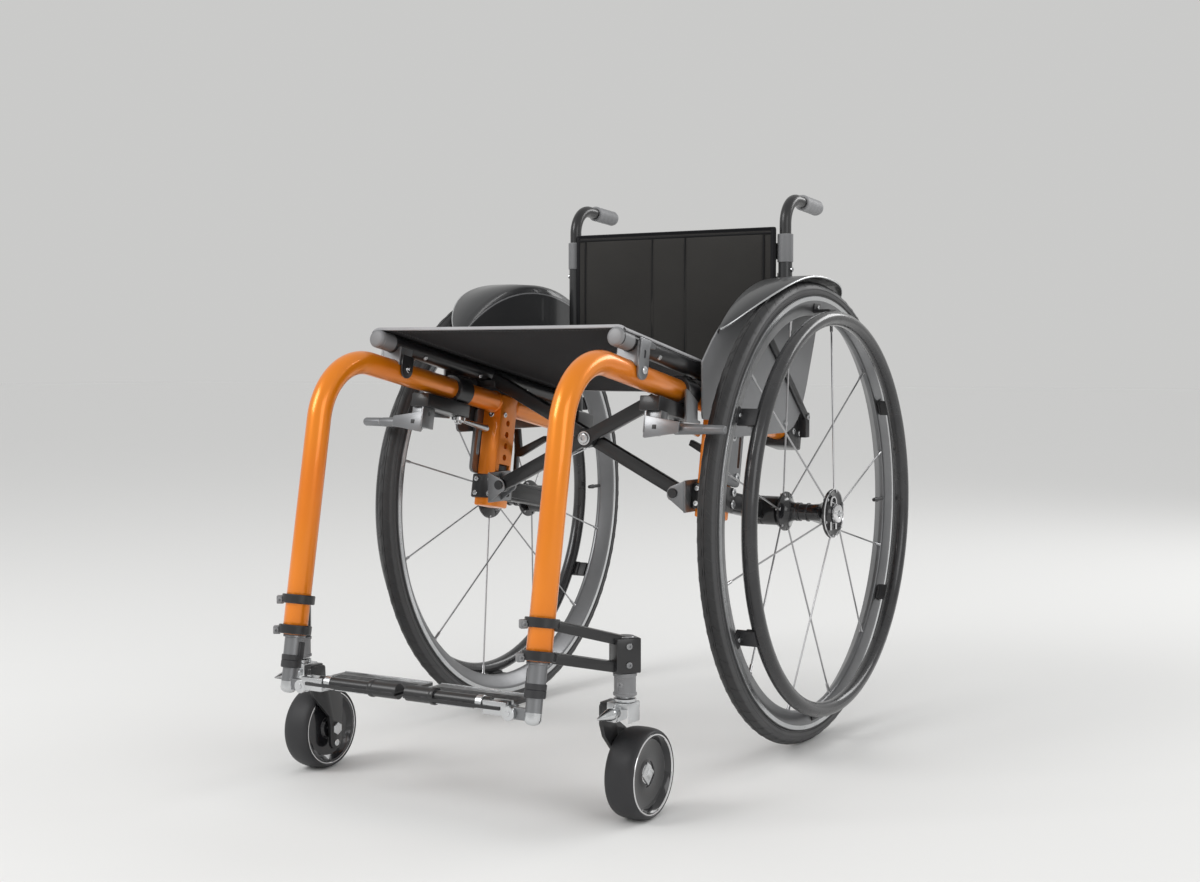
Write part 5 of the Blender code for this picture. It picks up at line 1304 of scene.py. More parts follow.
fit_pair([pivot_pin, pivot_head, *bracket_bolts], "bracket_pivot", "side", BLACK_PLASTIC)


# %% [markdown]
# ## Casters
# Each caster hangs from a black plate clamped twice round the front leg. The plate is two flat
# bars that meet a block, and the block holds a grey housing with the caster's bearings.

# %% Caster plates
STEM_X = 0.225
STEM_Y = -0.465
BLOCK_LOW = 0.1660
BLOCK_HIGH = 0.2035
plan = Vector((STEM_X - FRAME_X, STEM_Y - (leg_point(0.208).y - AXLE_Y), 0)).normalized()
plan_across = UP.cross(plan)
stem = at(STEM_X, STEM_Y, 0)
block_mid = stem + UP * (BLOCK_LOW + BLOCK_HIGH) / 2
parts = [bar(block_mid, (0.028, 0.024, BLOCK_HIGH - BLOCK_LOW), (plan, plan_across), 0.0014)]
BAND = ring_section(-0.0052, 0.0052, 0.0141, 0.0188, 0.0008, 0.0008)
bands = []
for leg_z, block_z in ((0.2235, BLOCK_HIGH - 0.0045), (0.1895, BLOCK_LOW + 0.0040)):
    start = leg_point(leg_z)
    end = stem + UP * block_z
    reach = end - start
    arm = bar((start + end) / 2, (reach.length, 0.0155, 0.0110), (reach.normalized(), plan_across), 0.0012)
    leg_ends = (leg_point(LEG_FOOT_Z - 0.03), leg_point(LEG_FOOT_Z + 0.09))
    parts.append(cut_away(arm, pin(*leg_ends, TUBE_RADIUS + 0.0002, 48, 0)))
    parts.append(turned(BAND, start, LEG_UP))
    bands.append(start)
fit_pair(parts, "caster_plate", "side", BLACK_PAINT, "caster_plate")
fixings = [bolt(stem + UP * z - plan_across * 0.0118, -plan_across, 0.0034, 0.0020) for z in (0.175, 0.195)]
CAP = [(0, 0), (0, 0.0098), (0.0010, 0.0104), (0.0020, 0.0098), (0.0026, 0)]
cap = turned(CAP, stem + UP * (BLOCK_HIGH - 0.0006), UP, 32)
fit_pair([*fixings, cap], "caster_plate_bolts", "side", SATIN_GREY)

# the clamps are closed by a small ear: it points forwards on the left leg, and outwards on the right
for name, mirror, points in (("left", 1, -plan), ("right", -1, Vector((-0.84, -0.54, 0)))):
    ears = []
    for band in bands:
        middle = Vector((band.x * mirror, band.y, band.z)) + points * 0.0205
        beside = Vector((-points.y, points.x, 0))
        ears.append(bar(middle, (0.0080, 0.0085, 0.0092), (points, beside), 0.0010))
        ears.append(bolt(middle + beside * 0.0040, beside, 0.0030, 0.0022))
    fit(ears, "clamp_ears_" + name, "side_" + name, GUARD_GREY)

# %% [markdown]
# The housing is a turned sleeve, with a lip at each end and a flat milled on its front. The
# fork below has one arm on the inner side of the wheel, a stem, and a pointed stop screw.

# %% Housing
HOUSING = [
    (0.1410, 0.0066), (0.1410, 0.0116), (0.1416, 0.0127), (0.1440, 0.0128), (0.1446, 0.0119),
    (0.1452, 0.0117), (0.1610, 0.0117), (0.1618, 0.0120), (0.1624, 0.0128), (0.1650, 0.0128),
    (0.1657, 0.0120), (0.1657, 0.0066),
]
milled = bar(stem + Vector((0.004, -0.0135, 0.1535)), (0.012, 0.006, 0.013), None, 0.0006)
housing = cut_away(turned(HOUSING, stem, UP), milled)
screw = bolt(stem + Vector((0.0, -0.0098, 0.1535)), -BACK, 0.0030, 0.0018)
fit_pair([housing, screw], "caster_housing", "side", GUARD_GREY, "caster_housing")

# %% Fork head and arm
HEAD_LOW = 0.1130
HEAD_HIGH = 0.1345
HEAD_MID = (HEAD_LOW + HEAD_HIGH) / 2
ARM_X = 0.2045
CASTER_Y = -0.431
head = bar(stem + Vector((-0.002, 0, HEAD_MID)), (0.027, 0.025, HEAD_HIGH - HEAD_LOW), None, 0.0012)
head = cut_away(head, bar(stem + Vector((0.0030, 0, 0.1195)), (0.0150, 0.040, 0.0170)))
stem_pin = pin(stem + UP * (HEAD_HIGH - 0.005), stem + UP * 0.182, 0.0060)
WASHER = [
    (0, 0.0050), (0, 0.0118), (0.0008, 0.0122), (0.0030, 0.0122), (0.0036, 0.0112), (0.0036, 0.0050)
]
washer = turned(WASHER, stem + UP * (HEAD_HIGH + 0.0006), UP, 40)
stop_bolt = pin(at(ARM_X - 0.0065, CASTER_Y, 0.0325), at(ARM_X - 0.002, CASTER_Y, 0.0325), 0.0040, 24)
AXLE_HEAD = [(0, 0), (0, 0.0072), (0.0006, 0.0078), (0.0032, 0.0078), (0.0036, 0.0070), (0.0036, 0)]
axle_head = turned(AXLE_HEAD, at(ARM_X - 0.0080, CASTER_Y, 0.050), SIDE, 6)
axle_bolt = pin(at(ARM_X - 0.006, CASTER_Y, 0.050), at(0.2375, CASTER_Y, 0.050), 0.0040, 24)
fork = [head, stem_pin, washer, stop_bolt, axle_head, axle_bolt]
fit_pair(fork, "caster_fork", "fork", BRIGHT_METAL, "caster_fork")

ARM_FRONT = [(-0.012, HEAD_HIGH - 0.0055), (-0.012, HEAD_LOW - 0.004), (-0.006, 0.0945)]
ARM_FOOT = [
    (-0.012, 0.066), (-0.0100, 0.054), (-0.0095, 0.034), (-0.0085, 0.0295), (-0.0060, 0.0262),
    (-0.0025, 0.0245), (0.0025, 0.0245), (0.0060, 0.0262), (0.0085, 0.0295), (0.0095, 0.034),
    (0.0108, 0.058), (0.0125, 0.078), (0.0125, 0.086), (0.0070, 0.096),
]
ARM_REAR = [
    (0.022, 0.108), (0.0155, 0.118), (0.0150, HEAD_HIGH - 0.0055), (0.0130, HEAD_HIGH - 0.0035),
    (-0.0100, HEAD_HIGH - 0.0035),
]
arm_corners = [
    at(ARM_X - 0.005, middle_y + y, z)
    for middle_y, part in ((STEM_Y, ARM_FRONT), (CASTER_Y, ARM_FOOT), (STEM_Y, ARM_REAR))
    for y, z in part
]
arm = plate(arm_corners, SIDE * 0.005, 0.0010)
link = bar(at(0.2085, STEM_Y, HEAD_MID), (0.016, 0.023, 0.0195), None, 0.0010)
fit_pair([arm, link], "caster_arm", "fork", BLACK_PAINT)

# %% Stop screw and the face of the axle bolt
STOP_SCREW = [
    (0, 0), (0, 0.0058), (0.0050, 0.0058), (0.0055, 0.0044), (0.0090, 0.0044), (0.0094, 0.0066),
    (0.0150, 0.0066), (0.0160, 0.0060), (0.0290, 0.0036), (0.0395, 0.0006), (0.0398, 0),
]
stop_screw = turned(STOP_SCREW, at(STEM_X - 0.004, STEM_Y - 0.0120, 0.124), -BACK, 24)
hanger = bar(at(STEM_X - 0.004, STEM_Y - 0.0140, 0.1240), (0.0030, 0.0060, 0.0200))
BOLT_FACE = [
    (0, 0), (0, 0.0124), (0.0010, 0.0130), (0.0020, 0.0122), (0.0028, 0.0070), (0.0046, 0.0050),
    (0.0050, 0.0040), (0.0050, 0),
]
bolt_face = turned(BOLT_FACE, at(0.2330, CASTER_Y, 0.050), SIDE, 4)
fit_pair([stop_screw, hanger, bolt_face], "caster_screws", "fork", BRIGHT_METAL)

# %% [markdown]
# The caster wheel is wide and ball-shaped: a grey-black tyre cast onto a gloss black dish. A
# polished ring runs round the dish, where the real one is machined.

# %% Caster wheels
CASTER_X = 0.2240
CASTER_RADIUS = 0.050
caster = at(CASTER_X, CASTER_Y, CASTER_RADIUS)
tread = [(-0.0168, 0.0441)]
for k in range(-12, 13):
    across = sin(k / 12 * pi / 2)
    tread.append((0.0177 * across, 0.0452 + 0.0048 * (1 - abs(across) ** 2.6) ** 0.5))
tread.append((0.0168, 0.0441))
fit_pair(turned(tread, caster, steps=96), "caster_tyre", "caster", CASTER_RUBBER, "caster_tyre")
DISH = [
    (-0.0150, 0.0046), (-0.0150, 0.0120), (-0.0120, 0.0140), (-0.0118, 0.0340), (-0.0150, 0.0385),
    (-0.0168, 0.0400), (-0.0168, 0.0438), (0.0168, 0.0438), (0.0168, 0.0424), (0.0150, 0.0400),
    (0.0100, 0.0378), (0.0085, 0.0340), (0.0078, 0.0170), (0.0084, 0.0145), (0.0092, 0.0130),
    (0.0092, 0.0046),
]
fit_pair(turned(DISH, caster, steps=96), "caster_dish", "caster", HUB_BLACK, "caster_hub")
FRONT_TRIM = [(0.0162, 0.0418), (0.0174, 0.0424), (0.0176, 0.0438), (0.0168, 0.0444), (0.0160, 0.0438)]
BACK_TRIM = [(-0.0162, 0.0422), (-0.0173, 0.0426), (-0.0173, 0.0437), (-0.0162, 0.0440)]
BEARING = [(0.0086, 0.0046), (0.0096, 0.0052), (0.0096, 0.0108), (0.0086, 0.0114)]
trims = [turned(section, caster, steps=96) for section in (FRONT_TRIM, BACK_TRIM)]
fit_pair([*trims, turned(BEARING, caster)], "caster_trim", "caster", POLISHED)

# %% [markdown]
# ## Footrest
# A post slides up inside each leg. It is grey, with a black locking collar and a pale foot.
# The footrest is split in the middle, and each half swings up on a pin when the chair folds.

# %% Footrest posts
FOOT_PIVOT_X = 0.141
FOOT_PIVOT_Z = 0.1300
FOOT_Y = leg_point(FOOT_PIVOT_Z).y - AXLE_Y - 0.0027
foot = leg_point(LEG_FOOT_Z)


def foot_point(x=0.0, y=0.0, z=0.0):
    """A point given from the pin on which a footrest half swings."""
    return at(FOOT_PIVOT_X + x, FOOT_Y + y, FOOT_PIVOT_Z + z)


UPPER_POST = [
    (-0.0550, 0), (-0.0550, 0.0112), (-0.0003, 0.0112), (0.0, 0.0122), (0.0010, 0.0126), (0.0030, 0.0126),
    (0.0036, 0.0104), (0.0235, 0.0102), (0.0235, 0),
]
posts = [turned(part, foot, -LEG_UP) for part in (UPPER_POST, ring_section(0.0370, 0.0540, 0, 0.0089))]
lug_corners = [foot_point(FRAME_X - FOOT_PIVOT_X, -0.0026, z) for z in (-0.0065, 0.0065)]
for k in range(11):
    a = pi / 2 + pi * k / 10
    lug_corners.append(foot_point(0.0065 * cos(a), -0.0026, 0.0065 * sin(a)))
lug = plate(lug_corners, BACK * 0.0052, 0.0006)
fit_pair([*posts, lug], "footrest_post", "side", SATIN_GREY, "footrest_post")
LOCK = [
    (0.0230, 0.0098), (0.0230, 0.0110), (0.0238, 0.0116), (0.0288, 0.0116), (0.0294, 0.0110),
    (0.0300, 0.0116), (0.0370, 0.0116), (0.0378, 0.0108), (0.0378, 0.0085),
]
fit_pair(turned(LOCK, foot, -LEG_UP), "post_lock", "side", BLACK_PLASTIC)
TIP = [
    (0.0530, 0), (0.0530, 0.0090), (0.0600, 0.0092), (0.0628, 0.0084), (0.0650, 0.0062),
    (0.0660, 0.0034), (0.0660, 0),
]
foot_pin = pin(foot_point(y=-0.0095), foot_point(y=0.0095), 0.0030, 24)
fit_pair([turned(TIP, foot, -LEG_UP), foot_pin], "post_fittings", "side", BRIGHT_METAL)
clip_mid = foot - LEG_UP * 0.018 + Vector((-0.0100, 0.002, 0))
clip = bar(clip_mid, (0.0050, 0.0080, 0.0200), (SIDE, LEG_UP.cross(SIDE)), 0.0010)
fit_pair(clip, "post_clip", "side", BLACK_PLASTIC)

# %% [markdown]
# Each half has a round front bar, a thin ribbed tread plate behind it, a black ring that
# slides on the bar, and bright sleeves and a fork fitting at its outer end.

# %% Footrest halves
BAR_R = 0.0068
BAR_Z = FOOT_PIVOT_Z + BAR_R
GAP_IN = 0.0057
PLATE_OUT = 0.132
TREAD_REAR = FOOT_Y + 0.0610
TREAD_FRONT = FOOT_Y - 0.0100
TREAD_Z = BAR_Z - 0.0023
tread_x = (GAP_IN + PLATE_OUT) / 2
tread_width = PLATE_OUT - GAP_IN
tread_mid = at(tread_x, (TREAD_FRONT + TREAD_REAR) / 2, TREAD_Z)
inner_end = at(GAP_IN, FOOT_Y, BAR_Z)
front_bar = pin(foot_point(-0.0250, 0, BAR_R), inner_end, BAR_R, 40)
SLIDE = [
    (0, 0.0064), (0, 0.0082), (0.0006, 0.0087), (0.0330, 0.0087), (0.0333, 0.0092), (0.0345, 0.0096),
    (0.0375, 0.0096), (0.0387, 0.0092), (0.0387, 0.0064),
]
slide_ring = turned(SLIDE, inner_end, SIDE, 40)
tread_plate = bar(tread_mid, (tread_width, TREAD_REAR - TREAD_FRONT, 0.0040), None, 0.0008)
ribs = []
for k in range(7):
    rib_mid = at(tread_x, TREAD_FRONT + 0.022 + 0.0052 * k, TREAD_Z + 0.0021)
    ribs.append(bar(rib_mid, (tread_width - 0.016, 0.0022, 0.0007), None, 0.0003))
half_plate = [front_bar, slide_ring, tread_plate, *ribs]
fit_pair(half_plate, "footplate_half", "footplate", BLACK_PAINT, "footplate")

knuckle = pin(foot_point(y=-0.0085), foot_point(y=0.0085), 0.0078, 40, 0.0008)
fitting = bar(foot_point(-0.0170, 0, 0.0040), (0.0300, 0.0160, 0.0150), None, 0.0012)
sleeves = [
    cut_away(piece, bar(foot_point(0.001), (0.0300, 0.0058, 0.0400), None, 0)) for piece in (knuckle, fitting)
]
RING = ring_section(0, 0.0080, 0.0066, 0.0079, 0.0004, 0.0005)
sleeves.append(turned(RING, at(0.0990, FOOT_Y, BAR_Z), SIDE, 40))
# a bright strip along the rear edge of the tread plate: partly a bare aluminium edge, partly a painted
# highlight along that edge
rear_mid = at(tread_x, TREAD_REAR - 0.0006, TREAD_Z + 0.0004)
rear_edge_highlight = bar(rear_mid, (tread_width - 0.001, 0.0024, 0.0050))
UNDER_END = 0.096
under_mid = at((GAP_IN + UNDER_END) / 2, FOOT_Y - 0.0008, BAR_Z - BAR_R - 0.0001)
under_edge = bar(under_mid, (UNDER_END - GAP_IN - 0.004, 0.0050, 0.0012), None, 0.0004)
fit_pair([*sleeves, rear_edge_highlight, under_edge], "footplate_trim_and_highlight", "footplate", BRIGHT_METAL)
print("footrest is", round(2 * PLATE_OUT, 3), "wide and", round(TREAD_REAR - TREAD_FRONT, 3), "deep")


# %% [markdown]
# ## Back
# Two upright canes plug onto the rear ends of the rails. Each has a foot clamp, a brace strut
# down to the side guard, and a sleeve at its top, where the push handle slides in.

# %% Back canes
CANE_Y = 0.0725
CANE_R = 0.0095
HANDLE_Z = 0.716
CANE_TOP = HANDLE_Z - 0.048
GUARD_X = 0.1885
GUARD_THICKNESS = 0.0025
HOOK_IN = 0.176
cane_line = at(FRAME_X, CANE_Y, 0)
foot_mid = at(FRAME_X, 0.0700, rail_point(CANE_Y).z)
cane_foot = rail_bar(foot_mid, (0.036, 0.044, 0.044), 0.0030)
cane_foot = cut_away(cane_foot, pin(rail_point(0.030), rail_point(0.0655), TUBE_RADIUS + 0.0003, 48, 0))
guard_out = GUARD_X + GUARD_THICKNESS + 0.0003
hook_out = guard_out + 0.004
hook_mid = at((HOOK_IN + hook_out) / 2, 0.0850, 0.4100)
hook = bar(hook_mid, (hook_out - HOOK_IN, 0.013, 0.034), None, 0.0016)
strut_start = at(guard_out + 0.002, 0.086, 0.418)
strut_end = at(guard_out + 0.002, -0.043, 0.5326)
strut_length = (strut_end - strut_start).length
strut_run = (strut_end - strut_start).normalized()
strut = bar((strut_start + strut_end) / 2, (0.004, strut_length, 0.012), (SIDE, strut_run), 0.0012)
fit_pair([cane_foot, hook, strut], "cane_foot", "side", BLACK_PAINT)
CANE = [(0.384, 0), (0.384, 0.0086), (0.385, CANE_R), (0.6310, CANE_R), (0.6310, 0)]
fit_pair(turned(CANE, cane_line, UP, 40), "back_cane", "side", CANE_GREY, "back_cane")
cane_slot = bar(at(FRAME_X - 0.0088, CANE_Y - 0.0020, 0.6050), (0.0020, 0.0050, 0.0220))
fit_pair(cane_slot, "cane_slot", "side", BLACK_PLASTIC)
TOP_SLEEVE = [
    (0.6300, 0.0090), (0.6300, 0.0102), (0.6306, 0.0107), (CANE_TOP - 0.0006, 0.0107),
    (CANE_TOP, 0.0102), (CANE_TOP, 0.0083), (0.6300, 0.0083),
]
fit_pair(turned(TOP_SLEEVE, cane_line, UP, 40), "cane_sleeve", "side", GUARD_GREY)
cane_bolts = [
    bolt(at(FRAME_X + 0.0088, CANE_Y, 0.6200), SIDE, 0.0034, 0.0026),
    bolt(foot_mid + SIDE * 0.0178 - ALONG * 0.010, SIDE, 0.0042, 0.0026),
    bolt(foot_mid + SIDE * 0.0178 + ALONG * 0.010, SIDE, 0.0042, 0.0026),
    bolt(strut_end - strut_run * 0.008 + SIDE * 0.0018, SIDE, 0.0040, 0.0024),
    bolt(strut_start + strut_run * 0.004 + SIDE * 0.0018, SIDE, 0.0036, 0.0024),
]
fit_pair(cane_bolts, "cane_bolts", "side", BRIGHT_METAL)

# %% [markdown]
# The push handle is a thin tube bent back through a little under a right angle. Its rubber
# grip is grey and closed at the end, with shallow grooves for the fingers.

# %% Push handles and grips
HANDLE_R = 0.0080
HANDLE_BEND = 0.035
DROOP = radians(4)
GRIP_START = 0.126
GRIP_END = 0.180
bend_low = HANDLE_Z - HANDLE_BEND
handle_path = [at(FRAME_X, CANE_Y, 0.5615)]
for k in range(19):
    a = (pi / 2 + DROOP) * k / 18
    handle_path.append(at(FRAME_X, CANE_Y + HANDLE_BEND * (1 - cos(a)), bend_low + HANDLE_BEND * sin(a)))
bend_end = handle_path[-1]


def handle_point(y):
    """A place on the straight end of the handle."""
    return at(FRAME_X, y, bend_end.z - tan(DROOP) * (y + AXLE_Y - bend_end.y))


handle_path.append(handle_point(0.176))
fit_pair(bent_tube(handle_path, HANDLE_R, 40), "push_handle", "side", BLACK_PAINT, "push_handle")
grip_run = Vector((0, cos(DROOP), -sin(DROOP)))
grip_length = (GRIP_END - GRIP_START) / cos(DROOP)
grip_section = [(0, 0.0082), (0, 0.0098), (0.0012, 0.0108), (0.0030, 0.0108)]
GROOVE = ((0, 0.0108), (0.0022, 0.0105), (0.0052, 0.0103), (0.0080, 0.0105), (0.0102, 0.0108))
for k in range(4):
    grip_section += [(0.0060 + k * 0.0105 + x, r) for x, r in GROOVE]
GRIP_CLOSED_END = ((0.0040, 0.0108), (0.0012, 0.0100), (0, 0.0072), (0, 0), (0.0036, 0), (0.0036, 0.0082))
grip_section += [(grip_length - x, r) for x, r in GRIP_CLOSED_END]
grip = turned(grip_section, handle_point(GRIP_START), grip_run)
fit_pair(grip, "hand_grip", "side", GRIP_GREY, "hand_grip")

# %% [markdown]
# The back is a light padded panel of charcoal nylon. Two upright seams split it into three
# fields, and a tape closes its top and its sides; down the sides it is also painted shadow,
# where the panel meets the canes. A block is subdivided, rounded at its rim, swelled between
# the seams and pressed in along them, as stuffing and thread would do.

# %% Sizes of the back panel
BACK_HALF = 0.1560
BACK_Y = 0.0620
BACK_DEPTH = 0.0080
BACK_TOP = 0.677
BACK_LOW = 0.455
BACK_RIM = 0.0040
SEAMS = (-0.031, 0.021)
SIDE_SEAM = 0.1405
HEM = 0.669
FIELD_LOW = BACK_LOW + 0.006
FIELDS = (-SIDE_SEAM, *SEAMS, SIDE_SEAM)
mid_z = (BACK_TOP + BACK_LOW) / 2


def padding(x, z):
    """How far the padding stands proud at a place on the panel; at a seam it is pressed in."""
    height = 0.12
    for left, right in zip(FIELDS, FIELDS[1:]):
        if left < x < right:
            t = (x - left) / (right - left)
            height += 0.88 * (4 * t * (1 - t)) ** 0.22
    v = (z - FIELD_LOW) / (HEM - FIELD_LOW)
    share = (4 * v * (1 - v)) ** 0.35 if 0 < v < 1 else 0.0
    return 0.0035 * height * share - 0.0010


def half_depth(x, z):
    """Half the depth of the block at a place: it is rounded off at its rim."""
    near = max(min(BACK_HALF - abs(x), BACK_TOP - z, z - BACK_LOW, BACK_RIM), 0) / BACK_RIM
    return BACK_DEPTH / 2 * (0.30 + 0.70 * sqrt(max(1 - (1 - near) ** 2, 0)))


def front_of(x, z, lift=0.0):
    """A place on the front face of the panel."""
    return at(x, BACK_Y - half_depth(x, z) - padding(x, z) - lift, z)


def fold_back(piece):
    """The panel rides on the right side frame, with a mesh of its own."""
    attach(piece, "side_right")
    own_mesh(piece)


# %% Block of the back panel
nothing_selected()
bpy.ops.mesh.primitive_cube_add(size=1, location=at(0, BACK_Y, mid_z))
panel = settle(bpy.context.object)
open_mesh()
bpy.ops.mesh.subdivide(number_cuts=88)
bpy.ops.object.mode_set(mode="OBJECT")
for point in panel.data.vertices:
    x = point.co.x * 2 * BACK_HALF
    w = (point.co.y - AXLE_Y - BACK_Y) * 2
    z = mid_z + (point.co.z - mid_z) * (BACK_TOP - BACK_LOW)
    proud = padding(x, z) * (1 if w < 0 else 0.3)
    point.co = at(x, BACK_Y + w * (half_depth(x, z) + proud), z)
fit(smooth(panel, 60), "back_panel", fold_back, BACK_NYLON, "back_sling")
print("back panel faces:", len(panel.data.polygons))

# %% [markdown]
# The tape, the seams and the side straps are sewn on afterwards, so that they stay crisp. A
# seam is a thin near-black line sunk into the panel, partly the seam itself and partly painted
# shade in its pressed-in crease, with a row of stitches on each side of it.

# %% Back seams and stitches
seam_xs = (*SEAMS, SIDE_SEAM, -SIDE_SEAM)
# each seam line is the seam and also painted shade for its pressed-in crease
seam_lines = []
for x in seam_xs:
    line = [front_of(x, FIELD_LOW + (HEM - BACK_LOW - 0.008) * k / 30, 0.0004) for k in range(31)]
    seam_lines.append(bent_tube(line, 0.0016, 8))
hem_end = BACK_HALF - 0.004
line = [front_of(-hem_end + hem_end * 2 * k / 40, HEM, 0.0001) for k in range(41)]
seam_lines.append(bent_tube(line, 0.0016, 8))
fit(seam_lines, "back_seams_and_shade", fold_back, SEAM_AND_SHADE)

rows = []
for x in seam_xs:
    for off in (-0.0024, 0.0024):
        for k in range(int((HEM - BACK_LOW - 0.012) / GAP)):
            z = BACK_LOW + 0.008 + GAP * k
            rows.append([front_of(x + off, end, 0.0002) for end in (z, z + STITCH)])
for k in range(int(2 * (BACK_HALF - 0.008) / GAP)):
    x = -BACK_HALF + 0.008 + GAP * k
    rows.append([front_of(end, HEM + 0.0024, 0.0002) for end in (x, x + STITCH)])
fit(stitches(rows), "back_stitches", fold_back, DARK_THREAD)
print("back stitches:", len(rows))

# %% Back tape and straps
tapes = [
    bar(at(0, BACK_Y, z), (2 * BACK_HALF, 0.0078, 0.0052), None, 0.0018)
    for z in (BACK_TOP - 0.0022, BACK_LOW + 0.0022)
]
# the black strips down both sides are edge tape and also painted shadow, where the panel meets the canes
for x in (0.0028 - BACK_HALF, BACK_HALF - 0.0028):
    tapes.append(bar(at(x, BACK_Y, mid_z), (0.0060, 0.0084, BACK_TOP - BACK_LOW - 0.002), None, 0.0018))
fit(tapes, "back_edge_tape_and_shadow", fold_back, SEAT_NYLON)

STRAP_HEIGHTS = (0.490, 0.545, 0.600, 0.645)
tabs = []
for z in STRAP_HEIGHTS:
    for side in (-1, 1):
        tabs.append(bar(at(side * 0.1490, 0.0690, z), (0.0240, 0.0016, 0.0220), None, 0.0005))
        tabs.append(bar(at(side * 0.1440, 0.0705, z), (0.0060, 0.0022, 0.0240), None, 0.0008))
fit(tabs, "back_strap_tabs", fold_back, SEAT_NYLON)
straps = [bar(at(0, 0.0682, z), (0.276, 0.0014, 0.0240), None, 0.0004) for z in STRAP_HEIGHTS]
fit(straps, "back_tension_straps", fold_back, SEAT_NYLON)

# %% [markdown]
# ## Side guards
# A thin grey sheet stands between the seat and the wheel, and its curved lip covers the top of
# the tyre. The sheet is one outline, extruded; the lip is a section swept along an arc.

# %% Guard sheets
GUARD_ARC = 0.294
GUARD_FRONT = 0.2195
guard_corners = [(-0.213, 0.4262), (-0.2175, 0.4275), (-0.219, 0.432)]
guard_corners.append((-GUARD_FRONT, WHEEL_RADIUS + sqrt(GUARD_ARC**2 - GUARD_FRONT**2)))
for degrees in range(131, 61, -3):
    a = radians(degrees)
    guard_corners.append((GUARD_ARC * cos(a), WHEEL_RADIUS + GUARD_ARC * sin(a)))
guard_corners += [
    (0.128, 0.5555), (0.1235, 0.545), (0.112, 0.515), (0.099, 0.485), (0.091, 0.466), (0.082, 0.448),
    (0.072, 0.431), (0.060, 0.418), (0.046, 0.4085), (0.028, 0.4025), (0.010, 0.402), (-0.186, 0.402),
    (-0.1905, 0.4035), (-0.1925, 0.408), (-0.1935, 0.4255),
]
guard = plate([at(GUARD_X, y, z) for y, z in guard_corners], SIDE * GUARD_THICKNESS, 0.0005)
fit_pair(guard, "side_guard", "side", GUARD_GREY, "side_guard")
# a thin dark sheet on the guard's inner face: painted shade, for the shadow that falls on that side
inner_corners = [at(GUARD_X - 0.0003, y * 0.992, 0.48 + (z - 0.48) * 0.985) for y, z in guard_corners]
fit_pair(plate(inner_corners, SIDE * 0.0008, 0), "guard_inner_painted_shade", "side", GUARD_DARK)
guard_bolts = [
    bolt(at(GUARD_X + GUARD_THICKNESS - 0.0002, y, z), SIDE, 0.0042, 0.0022)
    for y, z in ((-0.150, 0.418), (-0.080, 0.412), (0.020, 0.414))
]
fit_pair(guard_bolts, "guard_bolts", "side", BRIGHT_METAL)

# %% Lips over the tyres
FENDER_ARC = 0.3035
FENDER_OUT = 0.247
FENDER_FRONT = 128
FENDER_BACK = 60
LIP_START = GUARD_X + 0.0070


def lip_edge(degrees):
    """The x and radius of the lip's edge on its arc: the lip tapers into the sheet at both ends."""
    front = min(max((FENDER_FRONT - degrees) / 26, 0.0), 1.0)
    rear = min(max((degrees - FENDER_BACK) / 20, 0.0), 1.0)
    reach = sin(front * pi / 2) ** 0.75 * (0.12 + 0.88 * sin(rear * pi / 2))
    top = GUARD_ARC + (FENDER_ARC - GUARD_ARC) * (0.2 + 0.8 * reach)
    return LIP_START + (FENDER_OUT - LIP_START) * reach, top


def lip_corners(degrees):
    out, top = lip_edge(degrees)
    middle = (GUARD_X + 0.0050 + out) / 2
    return [
        (GUARD_X + 0.0002, GUARD_ARC - 0.0040), (GUARD_X + GUARD_THICKNESS + 0.0001, GUARD_ARC - 0.0040),
        (GUARD_X + 0.0036, top - 0.0034), (GUARD_X + 0.0056, top - 0.0012), (middle, top + 0.0010),
        (out - 0.0016, top + 0.0008), (out, top + 0.0002), (out + 0.0004, top + 0.0018),
        (out - 0.0010, top + 0.0030), (middle, top + 0.0030), (GUARD_X + 0.0046, top + 0.0012),
        (GUARD_X + 0.0014, top - 0.0026),
    ]


# a thin bright bead along the lip's outer edge: a painted highlight, where that edge catches the light
def edge_highlight_corners(degrees):
    out, top = lip_edge(degrees)
    angles = [pi * k / 4 for k in range(8)]
    return [(out + 0.0004 + 0.0013 * cos(a), top + 0.0016 + 0.0013 * sin(a)) for a in angles]


def swept(corners_at, steps=56):
    """A closed section lofted along the fender's arc: rings of points, bridged in edit mode."""
    rings = []
    for k in range(steps + 1):
        degrees = FENDER_FRONT + (FENDER_BACK - FENDER_FRONT) * k / steps
        rings.append(outline([from_hub(x, r, degrees) for x, r in corners_at(degrees)], k in (0, steps)))
    piece = together(rings)
    open_mesh()
    bpy.ops.mesh.bridge_edge_loops()
    clean_up()
    return smooth(settle(piece), 50)


fit_pair(swept(lip_corners), "fender", "side", GUARD_DARK)
fit_pair(swept(edge_highlight_corners), "fender_edge_painted_highlight", "side", BRIGHT_METAL)
print("lip runs over", FENDER_FRONT - FENDER_BACK, "degrees")

# %% [markdown]
# ## Brakes
# A band round the rail carries a hanger below it. A short lever turns on one pivot, a shoe on
# another: the shoe's round bar presses on the tyre in front of the wheel.

# %% Brake bodies
CLAMP_Y = -0.2245
SHOE_Y = -0.2865
SHOE_X = 0.1720
SHOE_DROP = 0.0530
LEVER_X = 0.1600
LEVER_Y = -0.2220
LAYER = 0.0060
BASE_TOP = 0.0165
BASE_LOW = 0.0340
shoe_top = SHOE_DROP - LAYER / 2
shoe_low = SHOE_DROP + LAYER / 2
lug_low = shoe_low + 0.0033
web_out = SHOE_X - 0.0096
lug_out = SHOE_X + 0.0075
base_end = (CLAMP_Y + 0.0140 - SHOE_Y) / cos(SEAT_TILT)


def hanger_box(along, x, down, soft=0.0008):
    """A box below the rail; each direction is given by its two limits."""
    middle = rail_point(SHOE_Y, sum(x) / 2) + ALONG * sum(along) / 2 - ABOVE * sum(down) / 2
    return rail_bar(middle, (x[1] - x[0], along[1] - along[0], down[1] - down[0]), soft)


